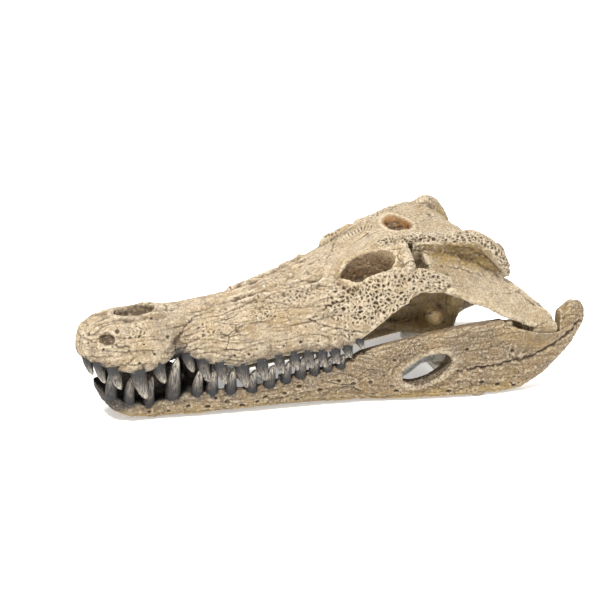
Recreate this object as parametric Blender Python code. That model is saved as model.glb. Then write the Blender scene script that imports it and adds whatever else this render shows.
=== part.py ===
"""Air-driven crocodile skull ornament: cast lower jaw on rubber feet, hinged cranium, air fittings.

Metres, +Z up, X along the skull with the snout at -X, Y across it, its left side at -Y. The origin is on
the ground under its middle. Sizes below are in millimetres; mesh_object turns them into metres.
"""

import math

import bmesh
import bpy
import numpy as np
from mathutils import Matrix, Vector

MM = 0.001
GAP = 0.3

# Jaw joint: one axis across both quadrates.
HINGE_X = 99.0
HINGE_Z = 30.0
CONDYLE_R = 6.6
CUP_R = 7.6
LUG_INNER_Y = 32.5
LUG_OUTER_Y = 38.0
LUG_ROOT_Y = 40.5
LUG_STEP_Z = 21.0
LUG = ((91.0, 11.0, 24.0), (95.0, 11.0, 35.0), (99.0, 12.0, 36.4), (103.0, 14.0, 35.0), (107.0, 18.0, 26.0))
CONDYLE_INNER_Y = 39.8
CONDYLE_OUTER_Y = 45.3
PIN_R = 2.0
PIN_END_Y = 44.0
PIN_HEAD_R = 3.6
PIN_HEAD_LONG = 1.6
COVER_Y = 45.7
BUSH_R = 3.4
BUSH_END_Y = 44.4

# Cranium stations: x, half-width at the gum, gum height, roof height.
SNOUT = (
    (-120.4, 4.0, 35.6, 42.0),
    (-117.0, 9.5, 33.6, 46.5),
    (-110.5, 14.5, 31.5, 49.8),
    (-104.0, 17.4, 29.4, 51.4),
    (-97.0, 19.2, 27.8, 52.4),
    (-90.0, 19.2, 28.2, 52.6),
    (-83.0, 17.4, 30.0, 52.0),
    (-76.0, 15.0, 34.0, 51.2),
    (-69.5, 18.0, 31.0, 50.8),
    (-62.0, 20.4, 27.6, 50.6),
    (-48.0, 23.0, 25.0, 52.0),
    (-34.0, 25.0, 27.6, 54.4),
    (-18.0, 27.2, 29.6, 58.8),
    (-6.0, 29.4, 28.8, 62.8),
    (4.0, 31.4, 31.0, 67.2),
    (14.0, 33.4, 38.6, 72.0),
    (25.0, 35.2, 47.4, 76.0),
    (31.0, 36.2, 51.2, 77.4),
)
SNOUT_ROUNDNESS = 2.5

# Hollow under the snout, which holds the air bell: x, half-width, ceiling.
HOLLOW = (
    (-98.0, 8.0, 41.5),
    (-88.0, 12.5, 43.0),
    (-76.0, 9.8, 43.6),
    (-60.0, 14.8, 44.4),
    (-34.0, 19.0, 48.0),
    (-14.0, 21.5, 51.5),
    (-6.0, 21.5, 52.5),
)
HOLLOW_SOFT = 4.0

# Skull roof: x, half-width, height of its rim.
TABLE = (
    (24.0, 12.5, 75.2),
    (31.0, 17.5, 77.6),
    (38.0, 20.5, 78.4),
    (46.0, 24.0, 78.6),
    (55.0, 27.5, 78.2),
    (64.0, 30.0, 76.4),
    (72.0, 31.0, 72.0),
)
TABLE_THICKNESS = 5.0
TABLE_CROWN = -0.8
WINDOW_X = 39.0
WINDOW_LONG = 6.8
WINDOW_WIDE = 11.0
WINDOW_FLOOR = 74.7

# Side forms of the cranium: x, distance from the middle, height, half-width, half-height.
JUGAL = (
    (6.0, 28.0, 46.0, 3.0, 10.0),
    (14.0, 30.0, 51.6, 3.6, 12.6),
    (25.0, 31.8, 58.2, 3.8, 10.4),
    (38.0, 34.2, 61.0, 3.8, 6.2),
    (46.0, 35.8, 59.6, 3.4, 5.2),
    (51.0, 36.8, 58.6, 2.4, 3.6),
)
HORN = (
    (56.0, 23.0, 75.0, 5.0, 3.0),
    (67.0, 29.0, 76.2, 5.0, 4.4),
    (74.5, 32.5, 70.5, 4.2, 5.0),
    (79.5, 34.0, 64.0, 3.4, 5.6),
    (83.0, 34.8, 59.8, 2.0, 3.6),
)
POSTORBITAL = ((32.0, 34.5, 66.0), (33.5, 17.0, 74.5))
POSTORBITAL_R = 3.0
COLUMN = ((58.0, 20.0, 29.0), (64.0, 25.0, 61.0))
COLUMN_R = 4.2

# Temporal wall: x, then its outer lower and its inner upper edge as distance out and height.
TEMPORAL = (
    (42.0, 38.6, 59.0, 22.0, 71.0),
    (56.0, 41.2, 51.2, 21.0, 69.0),
    (70.0, 43.6, 44.8, 23.0, 63.0),
    (80.0, 44.4, 39.2, 28.0, 56.5),
    (90.0, 44.6, 34.0, 34.0, 49.0),
    (98.0, 44.4, 31.6, 38.5, 43.0),
    (103.0, 44.0, 31.6, 41.5, 37.4),
)
TEMPORAL_THICKNESS = 4.6

# Back wall of the hollow under the skull roof: x, distance out, lower and upper height.
TEMPLE = (
    (38.0, 18.5, 66.0, 76.0),
    (48.0, 20.6, 67.0, 76.4),
    (58.0, 21.0, 66.0, 75.8),
    (70.0, 23.4, 60.5, 73.6),
    (77.5, 27.6, 56.0, 69.6),
    (81.0, 31.0, 54.0, 63.0),
)
TEMPLE_THICKNESS = 3.2
TEMPLE_LEAN = 3.0

BRAINCASE = (
    (-3.0, 15.0, 31.0, 58.0),
    (12.0, 14.5, 30.0, 66.0),
    (30.0, 12.5, 29.0, 74.0),
    (46.0, 11.0, 29.0, 74.0),
    (60.0, 9.0, 32.0, 72.0),
    (70.0, 6.5, 46.0, 69.0),
)
# Pterygoid wings: x, half-width, height of their middle.
PTERYGOID = (
    (26.0, 12.5, 31.0),
    (36.0, 18.0, 29.0),
    (45.0, 22.0, 28.2),
    (54.0, 23.5, 29.4),
    (61.0, 21.0, 31.4),
)
PTERYGOID_THICKNESS = 4.0

# Space between cheek and braincase: x, inner and outer distance out, ceiling.
UNDER_CHEEK = (
    (2.0, 19.0, 24.0, 44.0),
    (14.0, 17.5, 27.0, 52.0),
    (26.0, 16.0, 28.6, 55.5),
    (33.0, 15.0, 30.5, 62.0),
)

ORBIT_X = 15.6
ORBIT_Y = 20.8
ORBIT_LONG = 12.4
ORBIT_WIDE = 8.0
ORBIT_SKEW = 0.28
ORBIT_FLOOR = 57.0

NARIS_X = -92.0
NARIS_LONG = 11.5
NARIS_WIDE = 7.0
NARIS_FLOOR = 47.0

# Teeth: x of the root, length out of the gum, radius at the root.
UPPER_TEETH = (
    (-116.6, 7.5, 1.5), (-112.2, 9.5, 1.8), (-106.0, 10.5, 2.2), (-95.5, 14.0, 3.0), (-85.8, 9.5, 2.3),
    (-71.5, 9.0, 2.0), (-64.8, 11.0, 2.3), (-57.2, 10.5, 2.3), (-47.2, 12.2, 2.8), (-38.2, 11.0, 2.4),
    (-30.0, 9.0, 2.1), (-22.8, 9.2, 2.1), (-16.2, 9.2, 2.1), (-9.8, 9.0, 2.1), (-3.6, 7.6, 2.0),
    (2.2, 6.0, 1.8), (7.8, 4.8, 1.6),
)
LOWER_TEETH = (
    (-107.2, 14.0, 2.0), (-99.4, 12.6, 1.9), (-90.4, 13.0, 2.0), (-78.9, 19.6, 2.9), (-67.9, 11.5, 2.0),
    (-61.0, 11.0, 1.9), (-52.4, 11.0, 2.1), (-42.8, 8.6, 1.9), (-34.2, 8.6, 1.9), (-26.4, 8.6, 1.8),
    (-19.4, 8.6, 1.8), (-12.8, 6.8, 1.7), (-6.6, 5.4, 1.6), (-0.4, 5.0, 1.5),
)
TOOTH_ROOT = 2.5
TOOTH_TIP_R = 0.4
TOOTH_SIDES = 6

# Lower jaw stations: x, outer half-width, lower edge, upper edge.
SYMPHYSIS = (
    (-113.2, 3.6, 15.0, 19.0),
    (-110.8, 8.6, 10.0, 17.0),
    (-106.0, 11.6, 5.0, 13.4),
    (-99.0, 13.8, 1.8, 9.8),
    (-90.0, 15.0, 1.0, 8.6),
    (-82.0, 16.6, 1.0, 9.8),
    (-74.0, 18.0, 1.4, 11.4),
    (-60.0, 20.2, 2.2, 12.0),
)
RAMUS = (
    (-74.0, 17.6, 1.4, 11.4),
    (-60.0, 20.4, 2.2, 12.0),
    (-41.0, 24.0, 2.4, 12.4),
    (-20.0, 27.0, 2.2, 17.2),
    (1.0, 30.2, 1.8, 20.4),
    (9.5, 31.6, 1.4, 25.8),
    (20.0, 34.8, 1.0, 28.8),
    (34.0, 39.0, 1.0, 32.4),
    (58.0, 44.2, 1.0, 36.8),
    (76.0, 46.4, 1.0, 38.0),
    (87.0, 47.0, 1.6, 37.0),
    (99.0, 47.2, 8.0, 35.0),
    (108.0, 47.0, 15.6, 40.0),
    (113.0, 46.6, 20.6, 43.6),
    (118.0, 46.0, 27.0, 42.4),
    (120.4, 45.4, 31.0, 39.4),
)
# Raised floor of the mouth in front of the nozzle: x, half-width, top.
TONGUE = (
    (-104.0, 3.0, 14.0),
    (-98.0, 5.6, 20.6),
    (-88.0, 6.0, 22.4),
    (-78.0, 6.0, 22.0),
    (-72.0, 5.0, 19.0),
)
RAMUS_THICKNESS = ((-74.0, 7.0), (0.0, 7.6), (40.0, 8.6), (90.0, 9.4), (121.0, 6.5))
JAW_WINDOW = (39.4, 16.8, 12.6, 6.6, 25.0)
SEAT = ((77.0, 42.0), (77.0, 37.4), (84.0, 33.4), (92.8, 27.2), (106.6, 29.0), (106.8, 50.0), (77.0, 50.0))
# The thin outer wall that hides the lower half of the joint.
COVER_SEAT = (
    (77.8, 42.0),
    (77.8, 37.0),
    (84.0, 34.2),
    (92.0, 31.2),
    (100.0, 29.5),
    (106.1, 29.4),
    (106.3, 50.6),
    (77.8, 50.6),
)

# Air fittings: the inlet stands on a bridge between the branches of the lower jaw, under the braincase.
BRIDGE_LOW = 3.6
BRIDGE_HIGH = 6.6
BRIDGE_HALF = 31.0
BRIDGE_FRONT = 54.0
BRIDGE_REAR = 80.0
BRIDGE_CORNER = 4.0
LEDGE_HIGH = 13.0
LEDGE_INNER = 24.5
LEDGE = ((52.0, 36.5), (66.0, 38.5), (82.0, 40.0))
SCREWS_X = (("front", 59.0), ("rear", 75.0))
SCREW_Y = 27.6
SCREW_R = 1.4
SCREW_HEAD_R = 2.7
SCREW_HEAD = 1.5
SCREW_LONG = 6.4
BUMPER_X = 80.0
BUMPER_Y = 42.5
BUMPER_R = 1.9
BUMPER_LOW = 34.2
BUMPER_HIGH = 37.8
TUBE_R = 2.5
TUBE_BORE = 1.5
INLET_X = 58.0
INLET_Y = -16.0
INLET_Z = 11.6
INLET_LONG = 24.0
INLET_PORT = 5.0
# The tube's route, hand-laid along the inside of the left branch up to the nozzle.
TUBE_ROUTE = (
    (52.2, -16.0, 11.6), (45.0, -16.6, 11.2), (30.0, -23.0, 7.6), (12.0, -19.4, 6.8), (-6.0, -16.4, 6.8),
    (-24.0, -13.6, 7.0), (-38.0, -9.0, 9.6), (-48.0, -2.4, 14.6), (-56.1, 0.0, 16.0),
)
CLIP_BORE = 3.7
CLIPS_X = (("rear", 29.0), ("middle", 3.0), ("front", -24.0))
NOZZLE_X = -66.0
NOZZLE_R = 4.0
NOZZLE_SEAT = 10.4
NOZZLE_PORT_Z = 16.0
NOZZLE_TOP = 24.0
NOZZLE_ARM = 9.0
FEET = (("front", -88.0, 8.0), ("rear", 66.0, 40.6))
FOOT_R = 3.4
FOOT_TOP = 2.6
BELL_LOW = 34.2
BELL_WALL = 1.3
BELL_GAP = 0.6
BELL_FRONT = -95.0
BELL_REAR = -8.5
BELL_SCREWS_X = (("front", -62.0), ("rear", -24.0))

SIDES = (("left", -1.0), ("right", 1.0))


def clear_scene():
    for item in list(bpy.data.objects):
        bpy.data.objects.remove(item, do_unlink=True)


def new_collection(name, parent):
    group = bpy.data.collections.new(name)
    parent.children.link(group)
    return group


clear_scene()
PARTS = new_collection("crocodile_skull_ornament", bpy.context.scene.collection)
CUTTERS = new_collection("cutters", bpy.context.scene.collection)


def material(name, colour, roughness, metallic=0.0):
    made = bpy.data.materials.new(name)
    made.use_nodes = True
    shader = made.node_tree.nodes["Principled BSDF"]
    shader.inputs["Base Color"].default_value = (*colour, 1.0)
    shader.inputs["Roughness"].default_value = roughness
    shader.inputs["Metallic"].default_value = metallic
    return made


BONE = material("painted_resin", (0.62, 0.52, 0.36), 0.75)
JAW_BONE = material("painted_resin_lower", (0.50, 0.44, 0.33), 0.75)
PLASTIC = material("black_plastic", (0.03, 0.03, 0.035), 0.4)
SILICONE = material("silicone_tube", (0.62, 0.68, 0.66), 0.3)
STEEL = material("stainless_steel", (0.62, 0.62, 0.60), 0.3, 1.0)
RUBBER = material("rubber", (0.05, 0.05, 0.05), 0.8)
NYLON = material("nylon", (0.80, 0.78, 0.72), 0.5)


# ------------------------------------------------------------------ tools


def mesh_object(name, bm, look=None, group=None, flat=False):
    """A closed mesh in millimetres becomes an object in metres; without a material it is a helper."""
    bmesh.ops.recalc_face_normals(bm, faces=bm.faces)
    bmesh.ops.scale(bm, vec=(MM, MM, MM), verts=bm.verts)
    mesh = bpy.data.meshes.new(name)
    bm.to_mesh(mesh)
    bm.free()
    made = bpy.data.objects.new(name, mesh)
    (group or PARTS).objects.link(made)
    if look:
        mesh.materials.append(look)
    else:
        made.hide_render = True
        made.display_type = "WIRE"
    if not flat:
        mesh.shade_smooth()
        mesh.set_sharp_from_angle(angle=math.radians(38.0))
    return made


def loft(name, rings, look=None, group=None):
    """Skins rings of equal length and closes both ends with a flat face."""
    bm = bmesh.new()
    rows = [[bm.verts.new(point) for point in ring] for ring in rings]
    count = len(rows[0])
    for near, far in zip(rows, rows[1:]):
        for i in range(count):
            j = (i + 1) % count
            bm.faces.new((near[i], near[j], far[j], far[i]))
    bm.faces.new(rows[0])
    bm.faces.new(rows[-1])
    return mesh_object(name, bm, look, group)


def arch(x, half, low, high, roundness=SNOUT_ROUNDNESS, steps=12):
    """A flat-bottomed arch across Y at x, as a superellipse's upper half."""
    ring = []
    for i in range(steps + 1):
        angle = math.pi * i / steps
        across = math.copysign(abs(math.cos(angle)) ** (2.0 / roundness), math.cos(angle))
        up = max(math.sin(angle), 0.0) ** (2.0 / roundness)
        ring.append((x, half * across, low + (high - low) * up))
    ring.append((x, -half * 0.9, low - 0.8))
    ring.append((x, half * 0.9, low - 0.8))
    return ring


def oval(x, y, z, half_y, half_z, steps=10):
    turns = (2.0 * math.pi * (i + 0.5) / steps for i in range(steps))
    return [(x, y + half_y * math.cos(t), z + half_z * math.sin(t)) for t in turns]


def bar(name, stations, side, group):
    rings = [oval(x, side * out, z, half_y, half_z) for x, out, z, half_y, half_z in stations]
    return loft(name, rings, group=group)


def box(name, low, high, look=None, group=None):
    bm = bmesh.new()
    bmesh.ops.create_cube(bm, size=1.0)
    size = Vector(high) - Vector(low)
    centre = (Vector(high) + Vector(low)) / 2.0
    place = Matrix.Translation(centre) @ Matrix.Diagonal((*size, 1.0))
    bmesh.ops.transform(bm, matrix=place, verts=bm.verts)
    return mesh_object(name, bm, look, group)


def rod(name, start, end, radius, look=None, group=None, sides=20):
    """A cylinder from one point to another."""
    start = Vector(start)
    along = Vector(end) - start
    bm = bmesh.new()
    bmesh.ops.create_cone(
        bm, cap_ends=True, segments=sides, radius1=radius, radius2=radius, depth=along.length
    )
    turn = along.to_track_quat("Z", "Y").to_matrix().to_4x4()
    bmesh.ops.transform(bm, matrix=Matrix.Translation(start + along / 2.0) @ turn, verts=bm.verts)
    return mesh_object(name, bm, look, group)


def turned(name, profile, origin, direction, look=None, group=None, sides=20):
    """Turns a closed (radius, height) profile round an axis; radius 0 lies on the axis."""
    bm = bmesh.new()
    rings = []
    for radius, height in profile:
        turns = [2.0 * math.pi * i / sides for i in range(sides)]
        rings.append([bm.verts.new((radius * math.cos(t), radius * math.sin(t), height)) for t in turns])
    on_axis = profile[0][0] == 0.0
    for near, far in zip(rings, rings[1:] if on_axis else rings[1:] + rings[:1]):
        for i in range(sides):
            j = (i + 1) % sides
            bm.faces.new((near[i], near[j], far[j], far[i]))
    bmesh.ops.remove_doubles(bm, verts=bm.verts, dist=1e-5)
    turn = Vector(direction).to_track_quat("Z", "Y").to_matrix().to_4x4()
    bmesh.ops.transform(bm, matrix=Matrix.Translation(Vector(origin)) @ turn, verts=bm.verts)
    return mesh_object(name, bm, look, group)


def boolean(target, operation, helper):
    """Adds an exact Boolean with one helper object or with a collection of them."""
    step = target.modifiers.new(operation.lower(), "BOOLEAN")
    step.operation = operation
    step.solver = "EXACT"
    if isinstance(helper, bpy.types.Collection):
        step.operand_type = "COLLECTION"
        step.collection = helper
    else:
        step.object = helper


def read_row(rows, x, column):
    """The value of a station table's column at x."""
    return float(np.interp(x, [row[0] for row in rows], [row[column] for row in rows]))


def teeth(name, rows, root_place, down, group):
    """One jaw's teeth as cones in one helper; root_place gives a root's distance out and height."""
    bm = bmesh.new()
    sign = -1.0 if down else 1.0
    for x, length, radius in rows:
        out, z = root_place(x, radius)
        for _, side in SIDES:
            cone = bmesh.ops.create_cone(
                bm, cap_ends=True, segments=TOOTH_SIDES, radius1=radius, radius2=TOOTH_TIP_R,
                depth=length + TOOTH_ROOT,
            )["verts"]
            if down:
                bmesh.ops.rotate(bm, verts=cone, matrix=Matrix.Rotation(math.pi, 3, "X"))
            middle = z + sign * (length - TOOTH_ROOT) / 2.0
            bmesh.ops.translate(bm, verts=cone, vec=(x, side * out, middle))
    return mesh_object(name, bm, group=group)


# ---------------------------------------------------------------- cranium


def upper_root(x, radius):
    return max(read_row(SNOUT, x, 1) - radius - 0.4, 2.0), read_row(SNOUT, x, 2)


def temporal_ring(row, side):
    """A thick plate's section, from its outer lower edge to its inner upper one."""
    x, out_low, z_low, out_high, z_high = row
    start = Vector((x, out_low, z_low))
    end = Vector((x, out_high, z_high))
    along = (end - start).normalized()
    off = Vector((0.0, along.z, -along.y)) * TEMPORAL_THICKNESS / 2.0
    inset = along * 1.4
    ring = (
        start + inset + off, end - inset + off, end + off * 0.4, end - off * 0.4,
        end - inset - off, start + inset - off, start - off * 0.4, start + off * 0.4,
    )
    return [(point.x, side * point.y, point.z) for point in ring]


def table_ring(x, half, rim):
    """The skull roof's section: a crowned top between raised rims."""
    low = rim - TABLE_THICKNESS
    left = ((-half + 3.0, low), (-half, low + 1.4), (-half, rim - 0.8), (-half + 1.6, rim + 0.4))
    shoulder = rim + TABLE_CROWN * 0.6
    inner = ((-half * 0.5, shoulder), (0.0, rim + TABLE_CROWN), (half * 0.5, shoulder))
    right = tuple((-y, z) for y, z in reversed(left))
    return [(x, y, z) for y, z in left + inner + right]


def temple_ring(row, side):
    x, out, low, high = row
    points = ((out, low), (out + TEMPLE_THICKNESS, low), (out + TEMPLE_THICKNESS + TEMPLE_LEAN, high),
              (out + TEMPLE_LEAN, high))
    return [(x, side * y, z) for y, z in points]


def pterygoid_ring(x, half, z):
    low = z - PTERYGOID_THICKNESS / 2.0
    high = z + PTERYGOID_THICKNESS / 2.0
    points = (
        (-half, low + 1.0), (-half, high), (0.0, high + 1.5), (half, high),
        (half, low + 1.0), (half - 3.0, low), (-half + 3.0, low),
    )
    return [(x, y, z) for y, z in points]


def sided(point, side):
    return (point[0], side * point[1], point[2])


def cranium_side_forms(side, label, group):
    """Cheek, temporal wall, horn, orbit bar, column and jaw condyle of one side."""
    bar(f"form_jugal_{label}", JUGAL, side, group)
    bar(f"form_horn_{label}", HORN, side, group)
    loft(f"form_temporal_{label}", [temporal_ring(row, side) for row in TEMPORAL], group=group)
    loft(f"form_temple_{label}", [temple_ring(row, side) for row in TEMPLE], group=group)
    low, high = (sided(point, side) for point in POSTORBITAL)
    rod(f"form_postorbital_{label}", low, high, POSTORBITAL_R, group=group, sides=8)
    low, high = (sided(point, side) for point in COLUMN)
    rod(f"form_column_{label}", low, high, COLUMN_R, group=group, sides=8)
    inner = (HINGE_X, side * CONDYLE_INNER_Y, HINGE_Z)
    outer = (HINGE_X, side * CONDYLE_OUTER_Y, HINGE_Z)
    rod(f"form_condyle_{label}", inner, outer, CONDYLE_R, group=group)


def cranium_side_cuts(side, label, group):
    """Orbit, space under the cheek and bush bore of one side."""
    rim = []
    for turn in range(14):
        angle = 2.0 * math.pi * turn / 14
        along = ORBIT_LONG * math.cos(angle)
        rim.append((ORBIT_X + along, ORBIT_Y + ORBIT_WIDE * math.sin(angle) + ORBIT_SKEW * along))
    low = [(x, side * (ORBIT_Y + 0.8 * (y - ORBIT_Y)), ORBIT_FLOOR + 0.3 * (x - ORBIT_X)) for x, y in rim]
    high = [(x, side * (y + 2.5), 88.0) for x, y in rim]
    loft(f"cut_orbit_{label}", [low, high], group=group)
    rings = []
    for x, inner, outer, top in UNDER_CHEEK:
        points = ((inner, 15.0), (outer, 15.0), (outer, top - 5.0), (outer - 3.0, top), (inner, top))
        rings.append([(x, side * y, z) for y, z in points])
    loft(f"cut_under_cheek_{label}", rings, group=group)
    inner = (HINGE_X, side * (CONDYLE_INNER_Y - 1.0), HINGE_Z)
    outer = (HINGE_X, side * (BUSH_END_Y + GAP), HINGE_Z)
    rod(f"cut_bush_{label}", inner, outer, BUSH_R + GAP, group=group)


def hollow_ring(x, half, top, low):
    soft = HOLLOW_SOFT
    left = ((-half, low), (-half, top - soft), (-half + soft, top))
    points = left + tuple((-y, z) for y, z in reversed(left))
    return [(x, y, z) for y, z in points]


def cranium_middle_cuts(group):
    """Nostril pocket, skull-roof window, the hollow for the air bell, and its two screw holes."""
    rim = []
    for turn in range(14):
        angle = 2.0 * math.pi * turn / 14
        rim.append((NARIS_LONG * math.cos(angle), NARIS_WIDE * math.sin(angle)))
    low = [(NARIS_X + 0.8 * x, 0.7 * y, NARIS_FLOOR) for x, y in rim]
    high = [(NARIS_X + x, y, 62.0) for x, y in rim]
    loft("cut_naris", [low, high], group=group)
    rings = []
    for z, share in ((WINDOW_FLOOR, 0.55), (WINDOW_FLOOR + 4.0, 0.92), (86.0, 1.12)):
        ring = []
        for turn in range(16):
            angle = 2.0 * math.pi * turn / 16
            x = WINDOW_X + share * WINDOW_LONG * math.cos(angle)
            ring.append((x, share * WINDOW_WIDE * math.sin(angle), z))
        rings.append(ring)
    loft("cut_window", rings, group=group)
    loft("cut_hollow", [hollow_ring(x, half, top, 18.0) for x, half, top in HOLLOW], group=group)
    for label, x in BELL_SCREWS_X:
        top = read_row(HOLLOW, x, 2)
        ends = (x, 0.0, top - 2.0), (x, 0.0, top + 3.6)
        rod(f"cut_bell_screw_{label}", *ends, SCREW_R + GAP, group=group, sides=12)


def cranium():
    made = loft("cranium", [arch(*row) for row in SNOUT], BONE)
    forms = new_collection("cranium_forms", CUTTERS)
    loft("form_braincase", [arch(*row, roundness=3.0, steps=8) for row in BRAINCASE], group=forms)
    loft("form_table", [table_ring(*row) for row in TABLE], group=forms)
    loft("form_pterygoid", [pterygoid_ring(*row) for row in PTERYGOID], group=forms)
    cuts = new_collection("cranium_cuts", CUTTERS)
    for label, side in SIDES:
        cranium_side_forms(side, label, forms)
        cranium_side_cuts(side, label, cuts)
    cranium_middle_cuts(cuts)
    crowns = new_collection("upper_crowns", CUTTERS)
    teeth("form_upper_teeth", UPPER_TEETH, upper_root, True, crowns)
    boolean(made, "UNION", forms)
    boolean(made, "DIFFERENCE", cuts)
    boolean(made, "UNION", crowns)


# ------------------------------------------------------------- lower jaw


def lower_root(x, radius):
    rows = SYMPHYSIS + RAMUS[2:]
    return read_row(rows, x, 1) - radius - 1.4, read_row(rows, x, 3)


def symphysis_ring(x, half, low, high):
    soft = min(2.6, half * 0.3)
    middle = (low + high) / 2.0
    top = ((-half, middle), (-half + 0.6, high - 0.8), (-half + 2.0, high), (0.0, high - 1.0))
    bottom = ((half, middle), (half - soft, low + 0.3), (0.0, low), (-half + soft, low + 0.3))
    right = ((half - 2.0, high), (half - 0.6, high - 0.8))
    return [(x, y, z) for y, z in top + right + bottom]


def tongue_ring(x, half, top):
    points = ((-half, 5.0), (-half, top - 3.0), (-half + 2.0, top), (half - 2.0, top), (half, top - 3.0), (half, 5.0))
    return [(x, y, z) for y, z in points]


def ramus_ring(x, outer, low, high, side):
    inner = outer - read_row(RAMUS_THICKNESS, x, 1)
    soft = min(1.8, (high - low) / 4.0)
    points = (
        (outer - soft, low), (outer - 0.2, low + soft * 1.6), (outer, (low + high) / 2.0),
        (outer - 0.8, high - soft), (outer - soft - 0.8, high), (inner + soft, high),
        (inner, high - soft), (inner, low + soft), (inner + soft, low),
    )
    return [(x, side * y, z) for y, z in points]


def jaw_side_forms(side, label, group):
    """One side's ramus, hinge lug and the ledge that the bridge is screwed to."""
    loft(f"form_ramus_{label}", [ramus_ring(*row, side) for row in RAMUS], group=group)
    rings = []
    for x, low, high in LUG:
        step = min(high, LUG_STEP_Z)
        points = (
            (LUG_INNER_Y, low), (LUG_ROOT_Y, low), (LUG_ROOT_Y, step), (LUG_OUTER_Y, step + 0.4),
            (LUG_OUTER_Y, high), (LUG_INNER_Y, high),
        )
        rings.append([(x, side * y, z) for y, z in points])
    loft(f"form_lug_{label}", rings, group=group)
    rings = []
    for x, out in LEDGE:
        low = BRIDGE_HIGH + GAP
        points = ((LEDGE_INNER, low), (out, low), (out, LEDGE_HIGH), (LEDGE_INNER, LEDGE_HIGH))
        rings.append([(x, side * y, z) for y, z in points])
    loft(f"form_ledge_{label}", rings, group=group)


def jaw_side_cuts(side, label, group):
    """Jaw window, joint cup, pin bore, screw holes, bumper seat and foot recesses of one side."""
    centre_x, centre_z, long, wide, tilt = JAW_WINDOW
    lean = Matrix.Rotation(math.radians(tilt), 2)
    rim = []
    for turn in range(16):
        angle = 2.0 * math.pi * turn / 16
        rim.append(lean @ Vector((long * math.cos(angle), wide * math.sin(angle))))
    rings = [[(centre_x + p.x, side * y, centre_z + p.y) for p in rim] for y in (26.0, 52.0)]
    loft(f"cut_jaw_window_{label}", rings, group=group)
    face = LUG_OUTER_Y + 0.1
    start = (HINGE_X, side * face, HINGE_Z)
    rod(f"cut_cup_{label}", start, (HINGE_X, side * COVER_Y, HINGE_Z), CUP_R, group=group, sides=24)
    rings = [[(x, side * y, z) for x, z in SEAT] for y in (face, COVER_Y - 0.2)]
    loft(f"cut_seat_{label}", rings, group=group)
    rings = [[(x, side * y, z) for x, z in COVER_SEAT] for y in (COVER_Y - 0.6, 52.0)]
    loft(f"cut_cover_{label}", rings, group=group)
    inner = (HINGE_X, side * (LUG_INNER_Y - 2.0), HINGE_Z)
    rod(f"cut_pin_{label}", inner, (HINGE_X, side * (face + 1.0), HINGE_Z), PIN_R + GAP, group=group)
    for end, x in SCREWS_X:
        low = (x, side * SCREW_Y, BRIDGE_HIGH - 1.0)
        high = (x, side * SCREW_Y, LEDGE_HIGH - 1.5)
        rod(f"cut_screw_{label}_{end}", low, high, SCREW_R + GAP, group=group, sides=12)
    for end, x, out in FEET:
        top = (x, side * out, FOOT_TOP + GAP)
        rod(f"cut_foot_{label}_{end}", (x, side * out, -1.0), top, FOOT_R + GAP, group=group)
    seat = (BUMPER_X, side * BUMPER_Y, BUMPER_LOW - GAP)
    rod(f"cut_bumper_{label}", seat, (BUMPER_X, side * BUMPER_Y, 42.0), BUMPER_R + GAP, group=group, sides=12)


def lower_jaw():
    made = loft("lower_jaw", [symphysis_ring(*row) for row in SYMPHYSIS], JAW_BONE)
    forms = new_collection("jaw_forms", CUTTERS)
    loft("form_tongue", [tongue_ring(*row) for row in TONGUE], group=forms)
    cuts = new_collection("jaw_cuts", CUTTERS)
    for label, side in SIDES:
        jaw_side_forms(side, label, forms)
        jaw_side_cuts(side, label, cuts)
    rod("cut_nozzle_seat", (NOZZLE_X, 0.0, NOZZLE_SEAT), (NOZZLE_X, 0.0, 20.0), 6.6, group=cuts)
    rod("cut_nozzle_socket", (NOZZLE_X, 0.0, 5.6), (NOZZLE_X, 0.0, 12.0), 2.4 + GAP, group=cuts)
    crowns = new_collection("lower_crowns", CUTTERS)
    teeth("form_lower_teeth", LOWER_TEETH, lower_root, False, crowns)
    boolean(made, "UNION", forms)
    boolean(made, "DIFFERENCE", cuts)
    boolean(made, "UNION", crowns)


# ------------------------------------------------------ joint and contact


def pan_screw(name, place, direction, long=SCREW_LONG):
    """A self-tapping screw: pan head with a drive recess, shank and point."""
    profile = (
        (0.0, -0.9), (0.9, -0.9), (0.9, -SCREW_HEAD), (SCREW_HEAD_R * 0.75, -SCREW_HEAD),
        (SCREW_HEAD_R, -SCREW_HEAD * 0.5), (SCREW_HEAD_R, 0.0), (SCREW_R, 0.0),
        (SCREW_R, long - 1.2), (0.0, long),
    )
    return turned(name, profile, place, direction, STEEL, sides=16)


def joint_hardware(side, label):
    """Pin through the lug, spacing washer, and the bush in the cranium's condyle."""
    long = PIN_END_Y - LUG_INNER_Y + GAP
    profile = (
        (0.0, -PIN_HEAD_LONG), (PIN_HEAD_R - 0.5, -PIN_HEAD_LONG), (PIN_HEAD_R, -PIN_HEAD_LONG + 0.5),
        (PIN_HEAD_R, 0.0), (PIN_R, 0.0), (PIN_R, long - 0.6), (PIN_R - 0.5, long), (0.0, long),
    )
    place = (HINGE_X, side * (LUG_INNER_Y - GAP), HINGE_Z)
    turned(f"hinge_pin_{label}", profile, place, (0.0, side, 0.0), STEEL)
    near = LUG_OUTER_Y + GAP
    far = CONDYLE_INNER_Y - GAP
    ring = ((PIN_R + GAP, 0.0), (5.4, 0.0), (5.4, far - near), (PIN_R + GAP, far - near))
    turned(f"hinge_washer_{label}", ring, (HINGE_X, side * near, HINGE_Z), (0.0, side, 0.0), NYLON)
    long = BUSH_END_Y - CONDYLE_INNER_Y
    ring = ((PIN_R + GAP, 0.0), (BUSH_R, 0.0), (BUSH_R, long), (PIN_R + GAP, long))
    turned(f"hinge_bush_{label}", ring, (HINGE_X, side * CONDYLE_INNER_Y, HINGE_Z), (0.0, side, 0.0), NYLON)


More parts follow.
